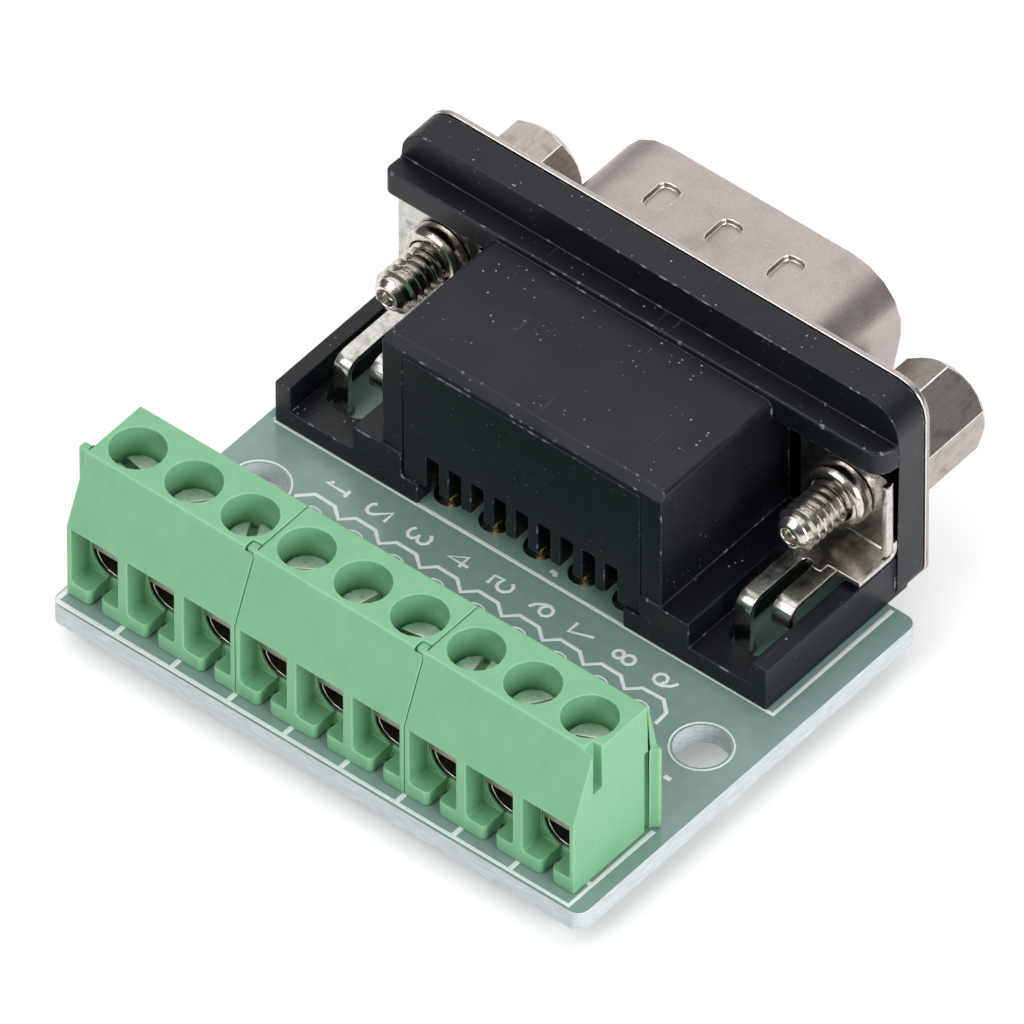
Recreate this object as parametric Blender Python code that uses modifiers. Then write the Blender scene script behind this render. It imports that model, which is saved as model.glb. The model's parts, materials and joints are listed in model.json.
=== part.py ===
"""Nine-way plug connector to screw terminal adapter on a small circuit board.

The board lies flat with its terminals along the front edge and the plug at the back.
The origin is under the middle of the whole object, level with the ends of the solder tails.
"""
import math

import bmesh
import bpy
from mathutils import Matrix, Vector

MM = 0.001

# Clearances between pieces that touch or run beside each other
SEAT_GAP = 0.05 * MM
RUNNING_GAP = 0.08 * MM
WELD_DISTANCE = 0.001 * MM
CUT_THROUGH = 0.5 * MM
JOIN_STEP = 0.01 * MM
JOIN_OVERLAP = 0.2 * MM

# Circuit board
BOARD_WIDTH = 32.95 * MM
BOARD_DEPTH = 25.4 * MM
BOARD_THICKNESS = 1.2 * MM
BOARD_CORNER = 0.65 * MM
TAIL_PROJECTION = 1.3 * MM
MOUNTING_HOLE = 2.85 * MM
MOUNTING_HOLE_FROM_SIDE = 2.73 * MM
MOUNTING_HOLE_FROM_FRONT = 12.4 * MM
HOLE_SIDES = 20
SOLDER_HOLE_SIDES = 10
SOLDER_HOLE_PLAY = 0.12 * MM

# Screw terminal blocks
WAY_PITCH = 3.5 * MM
WAYS_PER_BLOCK = 3
BLOCK_COUNT = 3
BLOCK_PLAY = 0.04 * MM
TERMINAL_FROM_LEFT = 0.34 * MM
TERMINAL_FROM_FRONT = 0.9 * MM
TERMINAL_DEPTH = 6.25 * MM
TERMINAL_HEIGHT = 8.5 * MM
FRONT_SLOPE_RUN = 1.55 * MM
FRONT_SLOPE_FOOT = 4.65 * MM
BACK_SLOPE_RUN = 0.65 * MM
BACK_SLOPE_FOOT = 5.4 * MM
WAY_WALL = 0.6 * MM
LINTEL_LIP = 0.1 * MM
BLOCK_EDGE_ROUND = 0.15 * MM
SCREW_FROM_FACE = 3.32 * MM
HEAD_BORE = 2.85 * MM
SHOULDER_THICKNESS = 0.25 * MM
CAVITY_FLOOR = 0.8 * MM
RECESS_FLOOR = 0.95 * MM
RECESS_DEPTH = 1.0 * MM
RECESS_ROUND = 0.5 * MM
WEB_THICKNESS = 0.45 * MM
MOUTH_SLOT = 0.6 * MM
MOUTH_SLOT_ROUND = 0.3 * MM
CAVITY_DEPTH = 3.1 * MM

# Ribs and grooves that lock one terminal block to the next
RIB_FROM_FACE = 1.55 * MM
RIB_DEPTH = 0.55 * MM
RIB_REACH = 0.54 * MM
RIB_FOOT = 5.75 * MM
RIB_DROP = 0.02 * MM
RIB_ROUND = 0.15 * MM
GROOVE_PLAY = 0.06 * MM
LIP_DEPTH = 0.58 * MM
LIP_REACH = 0.35 * MM
HOOK_GROOVE_WIDTH = 0.35 * MM
HOOK_GROOVE_DEPTH = 0.3 * MM

# Clamping screw, cage and contact bar of one way
CAGE_TRAVEL = 1.33 * MM
HEAD_DIAMETER = 2.5 * MM
HEAD_HEIGHT = 1.15 * MM
HEAD_CHAMFER = 0.1 * MM
SHANK_DIAMETER = 1.9 * MM
SLOT_WIDTH = 0.45 * MM
SLOT_DEPTH = 0.5 * MM
SCREW_SIDES = 14
CAGE_WALL = 0.15 * MM
CAGE_EDGE_SHOWN = 0.09 * MM
CAGE_DEPTH = 2.4 * MM
CAGE_PLATE = 0.9 * MM
BAR_THICKNESS = 0.6 * MM
BAR_LIP_DEPTH = 0.38 * MM
TERMINAL_TAIL_WIDTH = 1.0 * MM
TERMINAL_TAIL_THICKNESS = 0.5 * MM
SLOT_ANGLES = (-10, 52, -62, 34, 75, 12, -80, 58, 28)

# Plug connector with nine pins, seen from above the board
PLUG_FROM_LEFT = 15.85 * MM
PLUG_AXIS_HEIGHT = 6.15 * MM
FLANGE_WIDTH = 30.95 * MM
FLANGE_TOP = 12.6 * MM
FLANGE_BOTTOM = -0.1 * MM
FLANGE_THICKNESS = 0.3 * MM
FLANGE_CORNER = 1.8 * MM
FLANGE_LOW_CORNER = 0.9 * MM
FLANGE_FACE_FROM_FRONT = 28.18 * MM
SHELL_REACH = 6.22 * MM
SHELL_OPENING_WIDTH = 16.62 * MM
SHELL_OPENING_HEIGHT = 8.3 * MM
SHELL_WALL = 0.38 * MM
SHELL_OPENING_CORNER = 2.7 * MM
SHELL_SLANT = math.radians(10)
DIMPLE_PITCH = 3.85 * MM
DIMPLE_WIDTH = 1.25 * MM
DIMPLE_LENGTH = 1.9 * MM
DIMPLE_DEPTH = 0.3 * MM
DIMPLE_ROUND = 0.4 * MM
DIMPLE_WALL = 0.15 * MM
DIMPLE_MIDDLE_FROM_FLANGE = 3.3 * MM
DIMPLE_COUNT = 3

# Contact pins of the plug
PIN_DIAMETER = 1.0 * MM
PIN_TAIL_DIAMETER = 0.7 * MM
PIN_PITCH = 2.77 * MM
ROW_SPACING = 2.84 * MM
LONG_ROW_PINS = 5
PIN_BEND = 0.9 * MM
PIN_BACK_FROM_SHELL = 0.5 * MM
PIN_FRONT_ROW_FROM_FRONT = 17.78 * MM
PIN_POINT = 0.3 * MM
PIN_POINT_SHARE = 0.5

# Plastic body of the plug
BODY_MARGIN = 0.05 * MM
BODY_PLATE = 1.95 * MM
BODY_WALL = 1.0 * MM
BODY_FRONT_FROM_FRONT = 16.28 * MM
BODY_FOOT_LEAD = 0.13 * MM
BODY_ROUND = 0.3 * MM
BODY_EDGE_ROUND = 0.12 * MM
ARM_SIDE_STEP = 0.175 * MM
BLOCK_HALF_WIDTH = 8.65 * MM
BLOCK_HEIGHT = 10.16 * MM
BLOCK_CHAMFER = 0.45 * MM
SHELF_DEPTH = 1.3 * MM
SHELF_TOP = 10.51 * MM
SHELF_CORNER = 1.2 * MM
SHELF_THICKNESS = 1.5 * MM
LEDGE_WIDTH = 1.8 * MM
LEDGE_HEIGHT = 2.71 * MM
ARM_WIDTH = 0.95 * MM
ARM_HEIGHT = 2.76 * MM
POCKET_FLOOR = 1.16 * MM
POCKET_WIDTH = 3.1 * MM
POCKET_FRONT_WALL = 1.5 * MM
POCKET_ROUND = 1.2 * MM
PLUG_BOSS = 0.5 * MM

# Comb that keeps the pin tails apart
COMB_HALF_WIDTH = 7.35 * MM
COMB_THICKNESS = 2.1 * MM
COMB_FOOT = 1.36 * MM
COMB_TOP = 9.36 * MM
COMB_SLOT_HEIGHT = 2.1 * MM
COMB_SLOT_WIDTH = 0.78 * MM
COMB_TAIL_PLAY = 0.08 * MM

# Board brackets, jackscrews and their nuts
JACKSCREW_SPACING = 24.99 * MM
STUD_DIAMETER = 2.35 * MM
STUD_TIP_FROM_FRONT = 21.18 * MM
STUD_CHAMFER = 0.35 * MM
HEX_FLATS = 4.76 * MM
HEX_LENGTH = 5.05 * MM
HEX_CHAMFER = 0.55 * MM
JACK_BORE = 2.5 * MM
JACK_BORE_DEPTH = 3.8 * MM
HEX_TURNS = (30, 7)
NUT_DIAMETER = 3.5 * MM
NUT_THICKNESS = 1.0 * MM
NUT_ROUND = 0.45 * MM
THREAD_PLAY = 0.06 * MM
ROUND_SIDES = 24
SHEET = 0.35 * MM
BRACKET_LEFT = 2.8 * MM
BRACKET_RIGHT = 2.95 * MM
BRACKET_FLOOR = 3.46 * MM
BRACKET_TOP = 8.26 * MM
BRACKET_BEND = 0.5 * MM
BRACKET_INNER_BEND = 0.2 * MM
BRACKET_RELIEF = 0.15 * MM
BRACKET_APRON_FRONT = 22.98 * MM
LONG_LEG_WIDTH = 0.95 * MM
SHORT_LEG_WIDTH = 1.15 * MM
LONG_LEG_FROM_AXIS = -0.7 * MM
SHORT_LEG_FROM_AXIS = 0.98 * MM
LONG_LEG_FROM_FRONT = 18.58 * MM
SHORT_LEG_FROM_FRONT = 19.38 * MM
SHORT_LEG_END = 2.0 * MM
LEG_BEND = 0.8 * MM
SLOT_END_LEAD = 0.25 * MM
SIDE_FLANGE_DEPTH = 0.5 * MM

# Places worked out from the sizes above
OVERALL_DEPTH = FLANGE_FACE_FROM_FRONT + SHELL_REACH
BLOCK_WIDTH = WAYS_PER_BLOCK * WAY_PITCH - BLOCK_PLAY
WAY_OPENING = WAY_PITCH - WAY_WALL
RECESS_BACK = RECESS_DEPTH
WEB_BACK = RECESS_BACK + WEB_THICKNESS
CAVITY_BACK = WEB_BACK + CAVITY_DEPTH
CAGE_OUTER_RADIUS = WAY_OPENING / 2 - RUNNING_GAP
CAGE_INNER_RADIUS = CAGE_OUTER_RADIUS - CAGE_WALL
CAGE_CENTRE_HEIGHT = CAVITY_FLOOR + RUNNING_GAP + CAGE_OUTER_RADIUS
BAR_BOTTOM = CAGE_CENTRE_HEIGHT - CAGE_INNER_RADIUS + CAGE_TRAVEL + SEAT_GAP
BAR_TOP = BAR_BOTTOM + BAR_THICKNESS
CAGE_PLATE_BOTTOM = BAR_TOP + RUNNING_GAP
CAGE_TOP = CAGE_PLATE_BOTTOM + CAGE_PLATE
CAVITY_TOP = CAGE_TOP + CAGE_TRAVEL + RUNNING_GAP
HEAD_SEAT = CAVITY_TOP + SHOULDER_THICKNESS
CAGE_FRONT = WEB_BACK + SEAT_GAP + BAR_LIP_DEPTH + RUNNING_GAP
TAIL_CENTRE = CAVITY_BACK + TERMINAL_TAIL_THICKNESS
BODY_WIDTH = FLANGE_WIDTH - 2 * BODY_MARGIN
SHELL_HEIGHT = SHELL_OPENING_HEIGHT + 2 * SHELL_WALL
PLATE_BACK = FLANGE_FACE_FROM_FRONT - FLANGE_THICKNESS - SEAT_GAP
PLATE_FRONT = PLATE_BACK - BODY_PLATE
BRACKET_BACK = PLATE_FRONT - SEAT_GAP
NUT_BACK = BRACKET_BACK - SHEET - SEAT_GAP
PIN_ROW_HEIGHTS = (PLUG_AXIS_HEIGHT + ROW_SPACING / 2, PLUG_AXIS_HEIGHT - ROW_SPACING / 2)
PIN_TIP = OVERALL_DEPTH - PIN_BACK_FROM_SHELL


def from_left(distance):
    """X of a place measured from the board's left edge."""
    return distance - BOARD_WIDTH / 2


def from_front(distance):
    """Y of a place measured from the board's front edge."""
    return distance - OVERALL_DEPTH / 2


def above_board(height):
    """Z of a place measured from the board's top face."""
    return height + BOARD_THICKNESS + TAIL_PROJECTION


def clear_scene():
    for item in list(bpy.data.objects):
        bpy.data.objects.remove(item, do_unlink=True)


def new_collection(name):
    group = bpy.data.collections.new(name)
    bpy.context.scene.collection.children.link(group)
    return group


def make_material(name, colour, roughness, metallic):
    material = bpy.data.materials.new(name)
    material.use_nodes = True
    shader = material.node_tree.nodes["Principled BSDF"]
    shader.inputs["Base Color"].default_value = (*colour, 1.0)
    shader.inputs["Roughness"].default_value = roughness
    shader.inputs["Metallic"].default_value = metallic
    return material


clear_scene()
PARTS = new_collection("dsub_terminal_adapter")
CUTTERS = new_collection("cutters")
BOARD_GREEN = make_material("board green", (0.11, 0.22, 0.19), 0.45, 0.0)
TERMINAL_GREEN = make_material("terminal green", (0.24, 0.56, 0.32), 0.5, 0.0)
SCREW_STEEL = make_material("screw steel", (0.62, 0.62, 0.6), 0.35, 1.0)
TIN_PLATE = make_material("tin plate", (0.68, 0.67, 0.64), 0.4, 1.0)
BLACK_PLASTIC = make_material("black plastic", (0.03, 0.03, 0.035), 0.45, 0.0)
NICKEL = make_material("nickel plate", (0.6, 0.57, 0.54), 0.4, 1.0)
GOLD = make_material("gold plate", (0.8, 0.6, 0.25), 0.3, 1.0)


def object_from_bmesh(name, shape):
    mesh = bpy.data.meshes.new(name)
    bmesh.ops.recalc_face_normals(shape, faces=shape.faces)
    shape.to_mesh(mesh)
    shape.free()
    made = bpy.data.objects.new(name, mesh)
    PARTS.objects.link(made)
    return made


def box(name, low, high):
    """A box between two opposite corners."""
    low = Vector(low)
    high = Vector(high)
    shape = bmesh.new()
    bmesh.ops.create_cube(shape, size=1.0)
    bmesh.ops.scale(shape, vec=high - low, verts=shape.verts)
    bmesh.ops.translate(shape, vec=(low + high) / 2, verts=shape.verts)
    return object_from_bmesh(name, shape)


def add_rod(shape, centre, diameter, length, sides, axis="Z"):
    """Adds one capped cylinder that starts at centre and runs along +axis."""
    turn = {"Z": Matrix(), "Y": Matrix.Rotation(-math.pi / 2, 4, "X")}[axis]
    along = {"Z": Vector((0, 0, 1)), "Y": Vector((0, 1, 0))}[axis]
    middle = Vector(centre) + along * length / 2
    bmesh.ops.create_cone(
        shape, cap_ends=True, segments=sides, radius1=diameter / 2, radius2=diameter / 2,
        depth=length, matrix=Matrix.Translation(middle) @ turn)


def rod(name, centre, diameter, length, sides, axis="Z"):
    shape = bmesh.new()
    add_rod(shape, centre, diameter, length, sides, axis)
    return object_from_bmesh(name, shape)


def rounded(corners, steps=4):
    """Points of an outline whose corners are (u, v, radius), with arcs in the round ones."""
    points = []
    count = len(corners)
    for index, (u, v, radius) in enumerate(corners):
        here = Vector((u, v))
        if radius == 0:
            points.append(here)
            continue
        before = (Vector(corners[index - 1][:2]) - here).normalized()
        after = (Vector(corners[(index + 1) % count][:2]) - here).normalized()
        half_angle = before.angle(after) / 2
        centre = here + (before + after).normalized() * radius / math.sin(half_angle)
        start = here + before * radius / math.tan(half_angle) - centre
        end = here + after * radius / math.tan(half_angle) - centre
        sweep = start.angle_signed(end)
        for step in range(steps + 1):
            points.append(centre + Matrix.Rotation(-sweep * step / steps, 2) @ start)
    return points


def mesh_from_curve(name, curve):
    """Makes a curve object a welded mesh object and removes the curve."""
    drawn = bpy.data.objects.new(name, curve)
    PARTS.objects.link(drawn)
    graph = bpy.context.evaluated_depsgraph_get()
    mesh = bpy.data.meshes.new_from_object(drawn.evaluated_get(graph))
    world = drawn.matrix_world.copy()
    bpy.data.objects.remove(drawn)
    made = bpy.data.objects.new(name, mesh)
    made.matrix_world = world
    shape = bmesh.new()
    shape.from_mesh(mesh)
    bmesh.ops.remove_doubles(shape, verts=shape.verts, dist=WELD_DISTANCE)
    bmesh.ops.recalc_face_normals(shape, faces=shape.faces)
    shape.to_mesh(mesh)
    shape.free()
    PARTS.objects.link(made)
    return made


def plate(name, outlines, thickness, plane, start=0.0):
    """A flat outline made thick. It starts at `start` along the plane's normal."""
    curve = bpy.data.curves.new(name, "CURVE")
    curve.dimensions = "2D"
    curve.fill_mode = "BOTH"
    curve.extrude = thickness / 2
    for outline in outlines:
        spline = curve.splines.new("POLY")
        spline.points.add(len(outline) - 1)
        for point, place in zip(spline.points, outline):
            point.co = (place[0], place[1], 0.0, 1.0)
        spline.use_cyclic_u = True
    made = mesh_from_curve(name, curve)
    turns = {
        "XY": Matrix(),
        "XZ": Matrix(((1, 0, 0, 0), (0, 0, -1, 0), (0, 1, 0, 0), (0, 0, 0, 1))),
        "YZ": Matrix(((0, 0, 1, 0), (1, 0, 0, 0), (0, 1, 0, 0), (0, 0, 0, 1))),
    }
    normals = {"XY": Vector((0, 0, 1)), "XZ": Vector((0, 1, 0)), "YZ": Vector((1, 0, 0))}
    move = Matrix.Translation(normals[plane] * (start + thickness / 2))
    made.data.transform(move @ turns[plane])
    return made


def turned(name, profile, sides, axis="Z", ring=False):
    """A turned piece. Its profile is (radius, height) from top to bottom; a ring's is closed."""
    shape = bmesh.new()
    corners = [shape.verts.new((radius, 0.0, height)) for radius, height in profile]
    for upper, lower in zip(corners, corners[1:]):
        shape.edges.new((upper, lower))
    if ring:
        shape.edges.new((corners[-1], corners[0]))
    mesh = bpy.data.meshes.new(name)
    shape.to_mesh(mesh)
    shape.free()
    made = bpy.data.objects.new(name, mesh)
    PARTS.objects.link(made)
    screw = made.modifiers.new("turn", "SCREW")
    screw.steps = sides
    screw.render_steps = sides
    screw.use_merge_vertices = True
    screw.merge_threshold = WELD_DISTANCE
    finish(made)
    if axis == "Y":
        made.data.transform(Matrix.Rotation(-math.pi / 2, 4, "X"))
    return made


def move_to_cutters(tool):
    PARTS.objects.unlink(tool)
    CUTTERS.objects.link(tool)
    tool.hide_render = True
    tool.display_type = "WIRE"


def combine(target, tool, operation="DIFFERENCE"):
    """Cuts the tool from the target, or joins or intersects them. The tool follows the target."""
    tool.parent = target
    move_to_cutters(tool)
    modifier = target.modifiers.new(tool.name, "BOOLEAN")
    modifier.operation = operation
    modifier.solver = "EXACT"
    modifier.object = tool
    return target


def finish(made):
    """Writes what an object's modifiers make into its own mesh and clears its tools away."""
    graph = bpy.context.evaluated_depsgraph_get()
    mesh = bpy.data.meshes.new_from_object(made.evaluated_get(graph))
    tools = [modifier.object for modifier in made.modifiers if modifier.type == "BOOLEAN"]
    made.modifiers.clear()
    made.data = mesh
    for tool in tools:
        bpy.data.objects.remove(tool)
    return made


def bevel_all(made, width, segments=1, limit_degrees=40):
    modifier = made.modifiers.new("edges", "BEVEL")
    modifier.width = width
    modifier.segments = segments
    modifier.limit_method = "ANGLE"
    modifier.angle_limit = math.radians(limit_degrees)
    return made


def dress(made, material, place=(0.0, 0.0, 0.0), sharp_degrees=35):
    """Gives a finished piece its material, its shading and its place."""
    made.data.materials.clear()
    made.data.materials.append(material)
    made.data.shade_smooth()
    made.data.set_sharp_from_angle(angle=math.radians(sharp_degrees))
    made.location = place
    return made


def repeat(first, name, place, turn=0.0):
    """Another copy of a finished piece that shares its mesh."""
    made = bpy.data.objects.new(name, first.data)
    made.location = place
    made.rotation_euler = (0.0, 0.0, turn)
    PARTS.objects.link(made)
    return made


def way_places():
    """X of every terminal way, from left to right."""
    first = TERMINAL_FROM_LEFT - BLOCK_PLAY / 2 + WAY_PITCH / 2
    return [from_left(first + way * WAY_PITCH) for way in range(BLOCK_COUNT * WAYS_PER_BLOCK)]


def pin_places():
    """(x, height above board, y of the tail) of every plug pin, long row first."""
    middle = from_left(PLUG_FROM_LEFT)
    places = []
    for row, height in enumerate(PIN_ROW_HEIGHTS):
        count = LONG_ROW_PINS - row
        for index in range(count):
            x = middle + (index - (count - 1) / 2) * PIN_PITCH
            tail = from_front(PIN_FRONT_ROW_FROM_FRONT + row * ROW_SPACING)
            places.append((x, height, tail))
    return places


def jackscrew_places():
    middle = from_left(PLUG_FROM_LEFT)
    return [middle - JACKSCREW_SPACING / 2, middle + JACKSCREW_SPACING / 2]


def make_board():
    """The board, with its mounting holes and a solder hole for every tail."""
    half_width = BOARD_WIDTH / 2
    front = from_front(0.0)
    back = from_front(BOARD_DEPTH)
    corners = [
        (-half_width, front, BOARD_CORNER),
        (half_width, front, BOARD_CORNER),
        (half_width, back, BOARD_CORNER),
        (-half_width, back, BOARD_CORNER),
    ]
    board = plate("pcb", [rounded(corners, 5)], BOARD_THICKNESS, "XY", TAIL_PROJECTION)
    holes = bmesh.new()
    low = TAIL_PROJECTION - CUT_THROUGH
    depth = BOARD_THICKNESS + 2 * CUT_THROUGH
    for side in (-1, 1):
        x = side * (half_width - MOUNTING_HOLE_FROM_SIDE)
        place = (x, from_front(MOUNTING_HOLE_FROM_FRONT), low)
        add_rod(holes, place, MOUNTING_HOLE, depth, HOLE_SIDES)
    tail_hole = math.hypot(TERMINAL_TAIL_WIDTH, TERMINAL_TAIL_THICKNESS) + SOLDER_HOLE_PLAY
    for x in way_places():
        place = (x, from_front(TERMINAL_FROM_FRONT + TAIL_CENTRE), low)
        add_rod(holes, place, tail_hole, depth, SOLDER_HOLE_SIDES)
    for x, _, tail in pin_places():
        place = (x, tail, low)
        add_rod(holes, place, PIN_TAIL_DIAMETER + 2 * SOLDER_HOLE_PLAY, depth, SOLDER_HOLE_SIDES)
    leg_hole = math.hypot(LONG_LEG_WIDTH, SHEET) + 2 * SOLDER_HOLE_PLAY
    for x in jackscrew_places():
        place = (x + LONG_LEG_FROM_AXIS, from_front(LONG_LEG_FROM_FRONT + SHEET / 2), low)
        add_rod(holes, place, leg_hole, depth, SOLDER_HOLE_SIDES)
    combine(board, object_from_bmesh("board_holes", holes))
    return dress(board, BOARD_GREEN)


def mouth_slot_outline():
    """Plan of the narrow slot in a way's floor, flared where the two feet are rounded."""
    half = MOUTH_SLOT / 2
    flare = half + MOUTH_SLOT_ROUND
    front = -CUT_THROUGH
    corners = [
        (-flare, front, 0),
        (flare, front, 0),
        (flare, 0.0, 0),
        (half, 0.0, MOUTH_SLOT_ROUND - JOIN_STEP),
        (half, WEB_BACK, 0),
        (-half, WEB_BACK, 0),
        (-half, 0.0, MOUTH_SLOT_ROUND - JOIN_STEP),
        (-flare, 0.0, 0),
    ]
    return rounded(corners, 3)


def way_hollow():
    """Everything that one way takes out of its block, with the screw at x = 0.

    Y is measured from the block's front face and Z from the board.
    """
    half = WAY_OPENING / 2
    hollow = box("way_cavity", (-half, WEB_BACK, CAVITY_FLOOR), (half, CAVITY_BACK, CAVITY_TOP))
    recess = box(
        "way_recess",
        (-half, -CUT_THROUGH, RECESS_FLOOR),
        (half, RECESS_BACK, FRONT_SLOPE_FOOT - LINTEL_LIP))
    round_long_edges(recess, RECESS_ROUND, RECESS_FLOOR)
    combine(hollow, recess, "UNION")
    opening = CAGE_INNER_RADIUS + CAGE_EDGE_SHOWN
    steps = 12
    outline = [
        Vector((opening * math.cos(angle), CAGE_CENTRE_HEIGHT + opening * math.sin(angle)))
        for angle in (math.pi + math.pi * step / steps for step in range(steps + 1))
    ]
    outline.append(Vector((opening, FRONT_SLOPE_FOOT - LINTEL_LIP * 2)))
    outline.append(Vector((-opening, FRONT_SLOPE_FOOT - LINTEL_LIP * 2)))
    mouth_start = RECESS_BACK - CUT_THROUGH
    mouth_depth = WEB_THICKNESS + 2 * CUT_THROUGH
    combine(hollow, plate("way_mouth", [outline], mouth_depth, "XZ", mouth_start), "UNION")
    slot_height = CUT_THROUGH + RECESS_FLOOR + JOIN_OVERLAP
    combine(hollow, plate("way_slot", [mouth_slot_outline()], slot_height, "XY",
                          -CUT_THROUGH), "UNION")
    axis = (0.0, SCREW_FROM_FACE)
    shoulder_hole = SHANK_DIAMETER + 2 * RUNNING_GAP
    combine(hollow, rod("way_shank_hole", (*axis, CAVITY_TOP - CUT_THROUGH), shoulder_hole,
                        SHOULDER_THICKNESS + 2 * CUT_THROUGH, SCREW_SIDES), "UNION")
    bore_depth = TERMINAL_HEIGHT - HEAD_SEAT + CUT_THROUGH
    combine(hollow, rod("way_head_bore", (*axis, HEAD_SEAT), HEAD_BORE, bore_depth,
                        HOLE_SIDES), "UNION")
    tail_half = TERMINAL_TAIL_WIDTH / 2 + SEAT_GAP
    tail_back = TAIL_CENTRE + TERMINAL_TAIL_THICKNESS / 2 + SEAT_GAP
    combine(hollow, box("way_tail_slot", (-tail_half, CAVITY_BACK - CUT_THROUGH, -CUT_THROUGH),
                        (tail_half, tail_back, BAR_TOP + SEAT_GAP)), "UNION")
    return finish(hollow)


def round_long_edges(made, radius, height):
    """Rounds the edges along Y that lie at the given height."""
    shape = bmesh.new()
    shape.from_mesh(made.data)
    edges = []
    for edge in shape.edges:
        low, high = edge.verts
        runs_along_y = abs(low.co.y - high.co.y) > radius
        at_height = abs(low.co.z - height) < WELD_DISTANCE and abs(high.co.z - height) < WELD_DISTANCE
        if runs_along_y and at_height:
            edges.append(edge)
    bmesh.ops.bevel(shape, geom=edges, offset=radius, segments=4, profile=0.5, affect="EDGES")
    shape.to_mesh(made.data)
    shape.free()


def block_profile():
    """Side view of a terminal block: (y from its front face, height)."""
    corners = [
        (0.0, SEAT_GAP, 0),
        (TERMINAL_DEPTH, SEAT_GAP, 0),
        (TERMINAL_DEPTH, BACK_SLOPE_FOOT, BLOCK_EDGE_ROUND),
        (TERMINAL_DEPTH - BACK_SLOPE_RUN, TERMINAL_HEIGHT, BLOCK_EDGE_ROUND),
        (FRONT_SLOPE_RUN, TERMINAL_HEIGHT, BLOCK_EDGE_ROUND),
        (0.0, FRONT_SLOPE_FOOT, BLOCK_EDGE_ROUND),
    ]
    return rounded(corners, 2)


def lip_outline(grow=0.0):
    """Plan of the flared lip behind a block's right side, or of the recess that takes it."""
    back = TERMINAL_DEPTH - SEAT_GAP
    front = TERMINAL_DEPTH - LIP_DEPTH - grow
    if grow:
        back = TERMINAL_DEPTH + CUT_THROUGH
    return [
        (-SEAT_GAP, front),
        (LIP_REACH + grow, front + LIP_REACH),
        (LIP_REACH + grow, back),
        (-SEAT_GAP, back),
    ]


def make_block_shape():
    """One three-way block: the sloped housing, its ways, and what locks it to its neighbours."""
    half = BLOCK_WIDTH / 2
    block = plate("terminal_block", [block_profile()], BLOCK_WIDTH, "YZ", -half)
    corners = [
        (-half - RIB_REACH, RIB_FROM_FACE, RIB_ROUND),
        (-half + SEAT_GAP, RIB_FROM_FACE, 0),
        (-half + SEAT_GAP, RIB_FROM_FACE + RIB_DEPTH, 0),
        (-half - RIB_REACH, RIB_FROM_FACE + RIB_DEPTH, RIB_ROUND),
    ]
    rib = plate("block_rib", [rounded(corners, 2)], TERMINAL_HEIGHT - RIB_DROP - RIB_FOOT, "XY",
                RIB_FOOT)
    combine(block, rib, "UNION")
    lip = plate("block_lip", [lip_outline()], BACK_SLOPE_FOOT - 2 * SEAT_GAP, "XY", 2 * SEAT_GAP)
    lip.data.transform(Matrix.Translation((half, 0, 0)))
    combine(block, lip, "UNION")
    lip_recess = plate("block_lip_recess", [lip_outline(GROOVE_PLAY)],
                       BACK_SLOPE_FOOT + CUT_THROUGH + GROOVE_PLAY, "XY", -CUT_THROUGH)
    lip_recess.data.transform(Matrix.Translation((-half, 0, 0)))
    combine(block, lip_recess)
    groove_low = RIB_FROM_FACE - GROOVE_PLAY
    groove_high = RIB_FROM_FACE + RIB_DEPTH + GROOVE_PLAY
    groove = box("block_groove",
                 (half - RIB_REACH - GROOVE_PLAY, groove_low, RIB_FOOT - GROOVE_PLAY),
                 (half + CUT_THROUGH, groove_high, TERMINAL_HEIGHT + CUT_THROUGH))
    combine(block, groove)
    hook_back = TERMINAL_DEPTH - LIP_DEPTH
    hook = box("block_hook_groove",
               (half - HOOK_GROOVE_DEPTH, hook_back - HOOK_GROOVE_WIDTH, -CUT_THROUGH),
               (half + CUT_THROUGH, hook_back, BACK_SLOPE_FOOT))
    combine(block, hook)
    hollow = way_hollow()
    for way in range(WAYS_PER_BLOCK):
        x = (way - (WAYS_PER_BLOCK - 1) / 2) * WAY_PITCH
        cutter = repeat(hollow, f"way_hollow_{way + 1}", (x, 0.0, 0.0))
        combine(block, cutter)
    bpy.data.objects.remove(hollow)
    return finish(block)


def make_terminal_blocks():
    first = make_block_shape()
    pitch = WAYS_PER_BLOCK * WAY_PITCH
    for index in range(BLOCK_COUNT):
        x = from_left(TERMINAL_FROM_LEFT + BLOCK_WIDTH / 2 + index * pitch)
        place = (x, from_front(TERMINAL_FROM_FRONT), above_board(0.0))
        if index == 0:
            dress(first, TERMINAL_GREEN, place)
            first.name = "terminal_housing_1"
        else:
            repeat(first, f"terminal_housing_{index + 1}", place)


def make_screw_shape():
    """A slotted cheese-head screw whose head stands on z = 0."""
    head = HEAD_DIAMETER / 2
    shank = SHANK_DIAMETER / 2
    tip = BAR_TOP + RUNNING_GAP - (HEAD_SEAT + SEAT_GAP)
    profile = [
        (0.0, HEAD_HEIGHT),
        (head - HEAD_CHAMFER, HEAD_HEIGHT),
        (head, HEAD_HEIGHT - HEAD_CHAMFER),
        (head, 0.0),
        (shank, 0.0),
        (shank, tip + HEAD_CHAMFER * 2),
        (shank - HEAD_CHAMFER * 2, tip),
        (0.0, tip),
    ]
    screw = turned("terminal_screw", profile, SCREW_SIDES)
    slot = box("screw_slot", (-HEAD_DIAMETER, -SLOT_WIDTH / 2, HEAD_HEIGHT - SLOT_DEPTH),
               (HEAD_DIAMETER, SLOT_WIDTH / 2, HEAD_HEIGHT + CUT_THROUGH))
    combine(screw, slot)
    return finish(screw)


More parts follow.
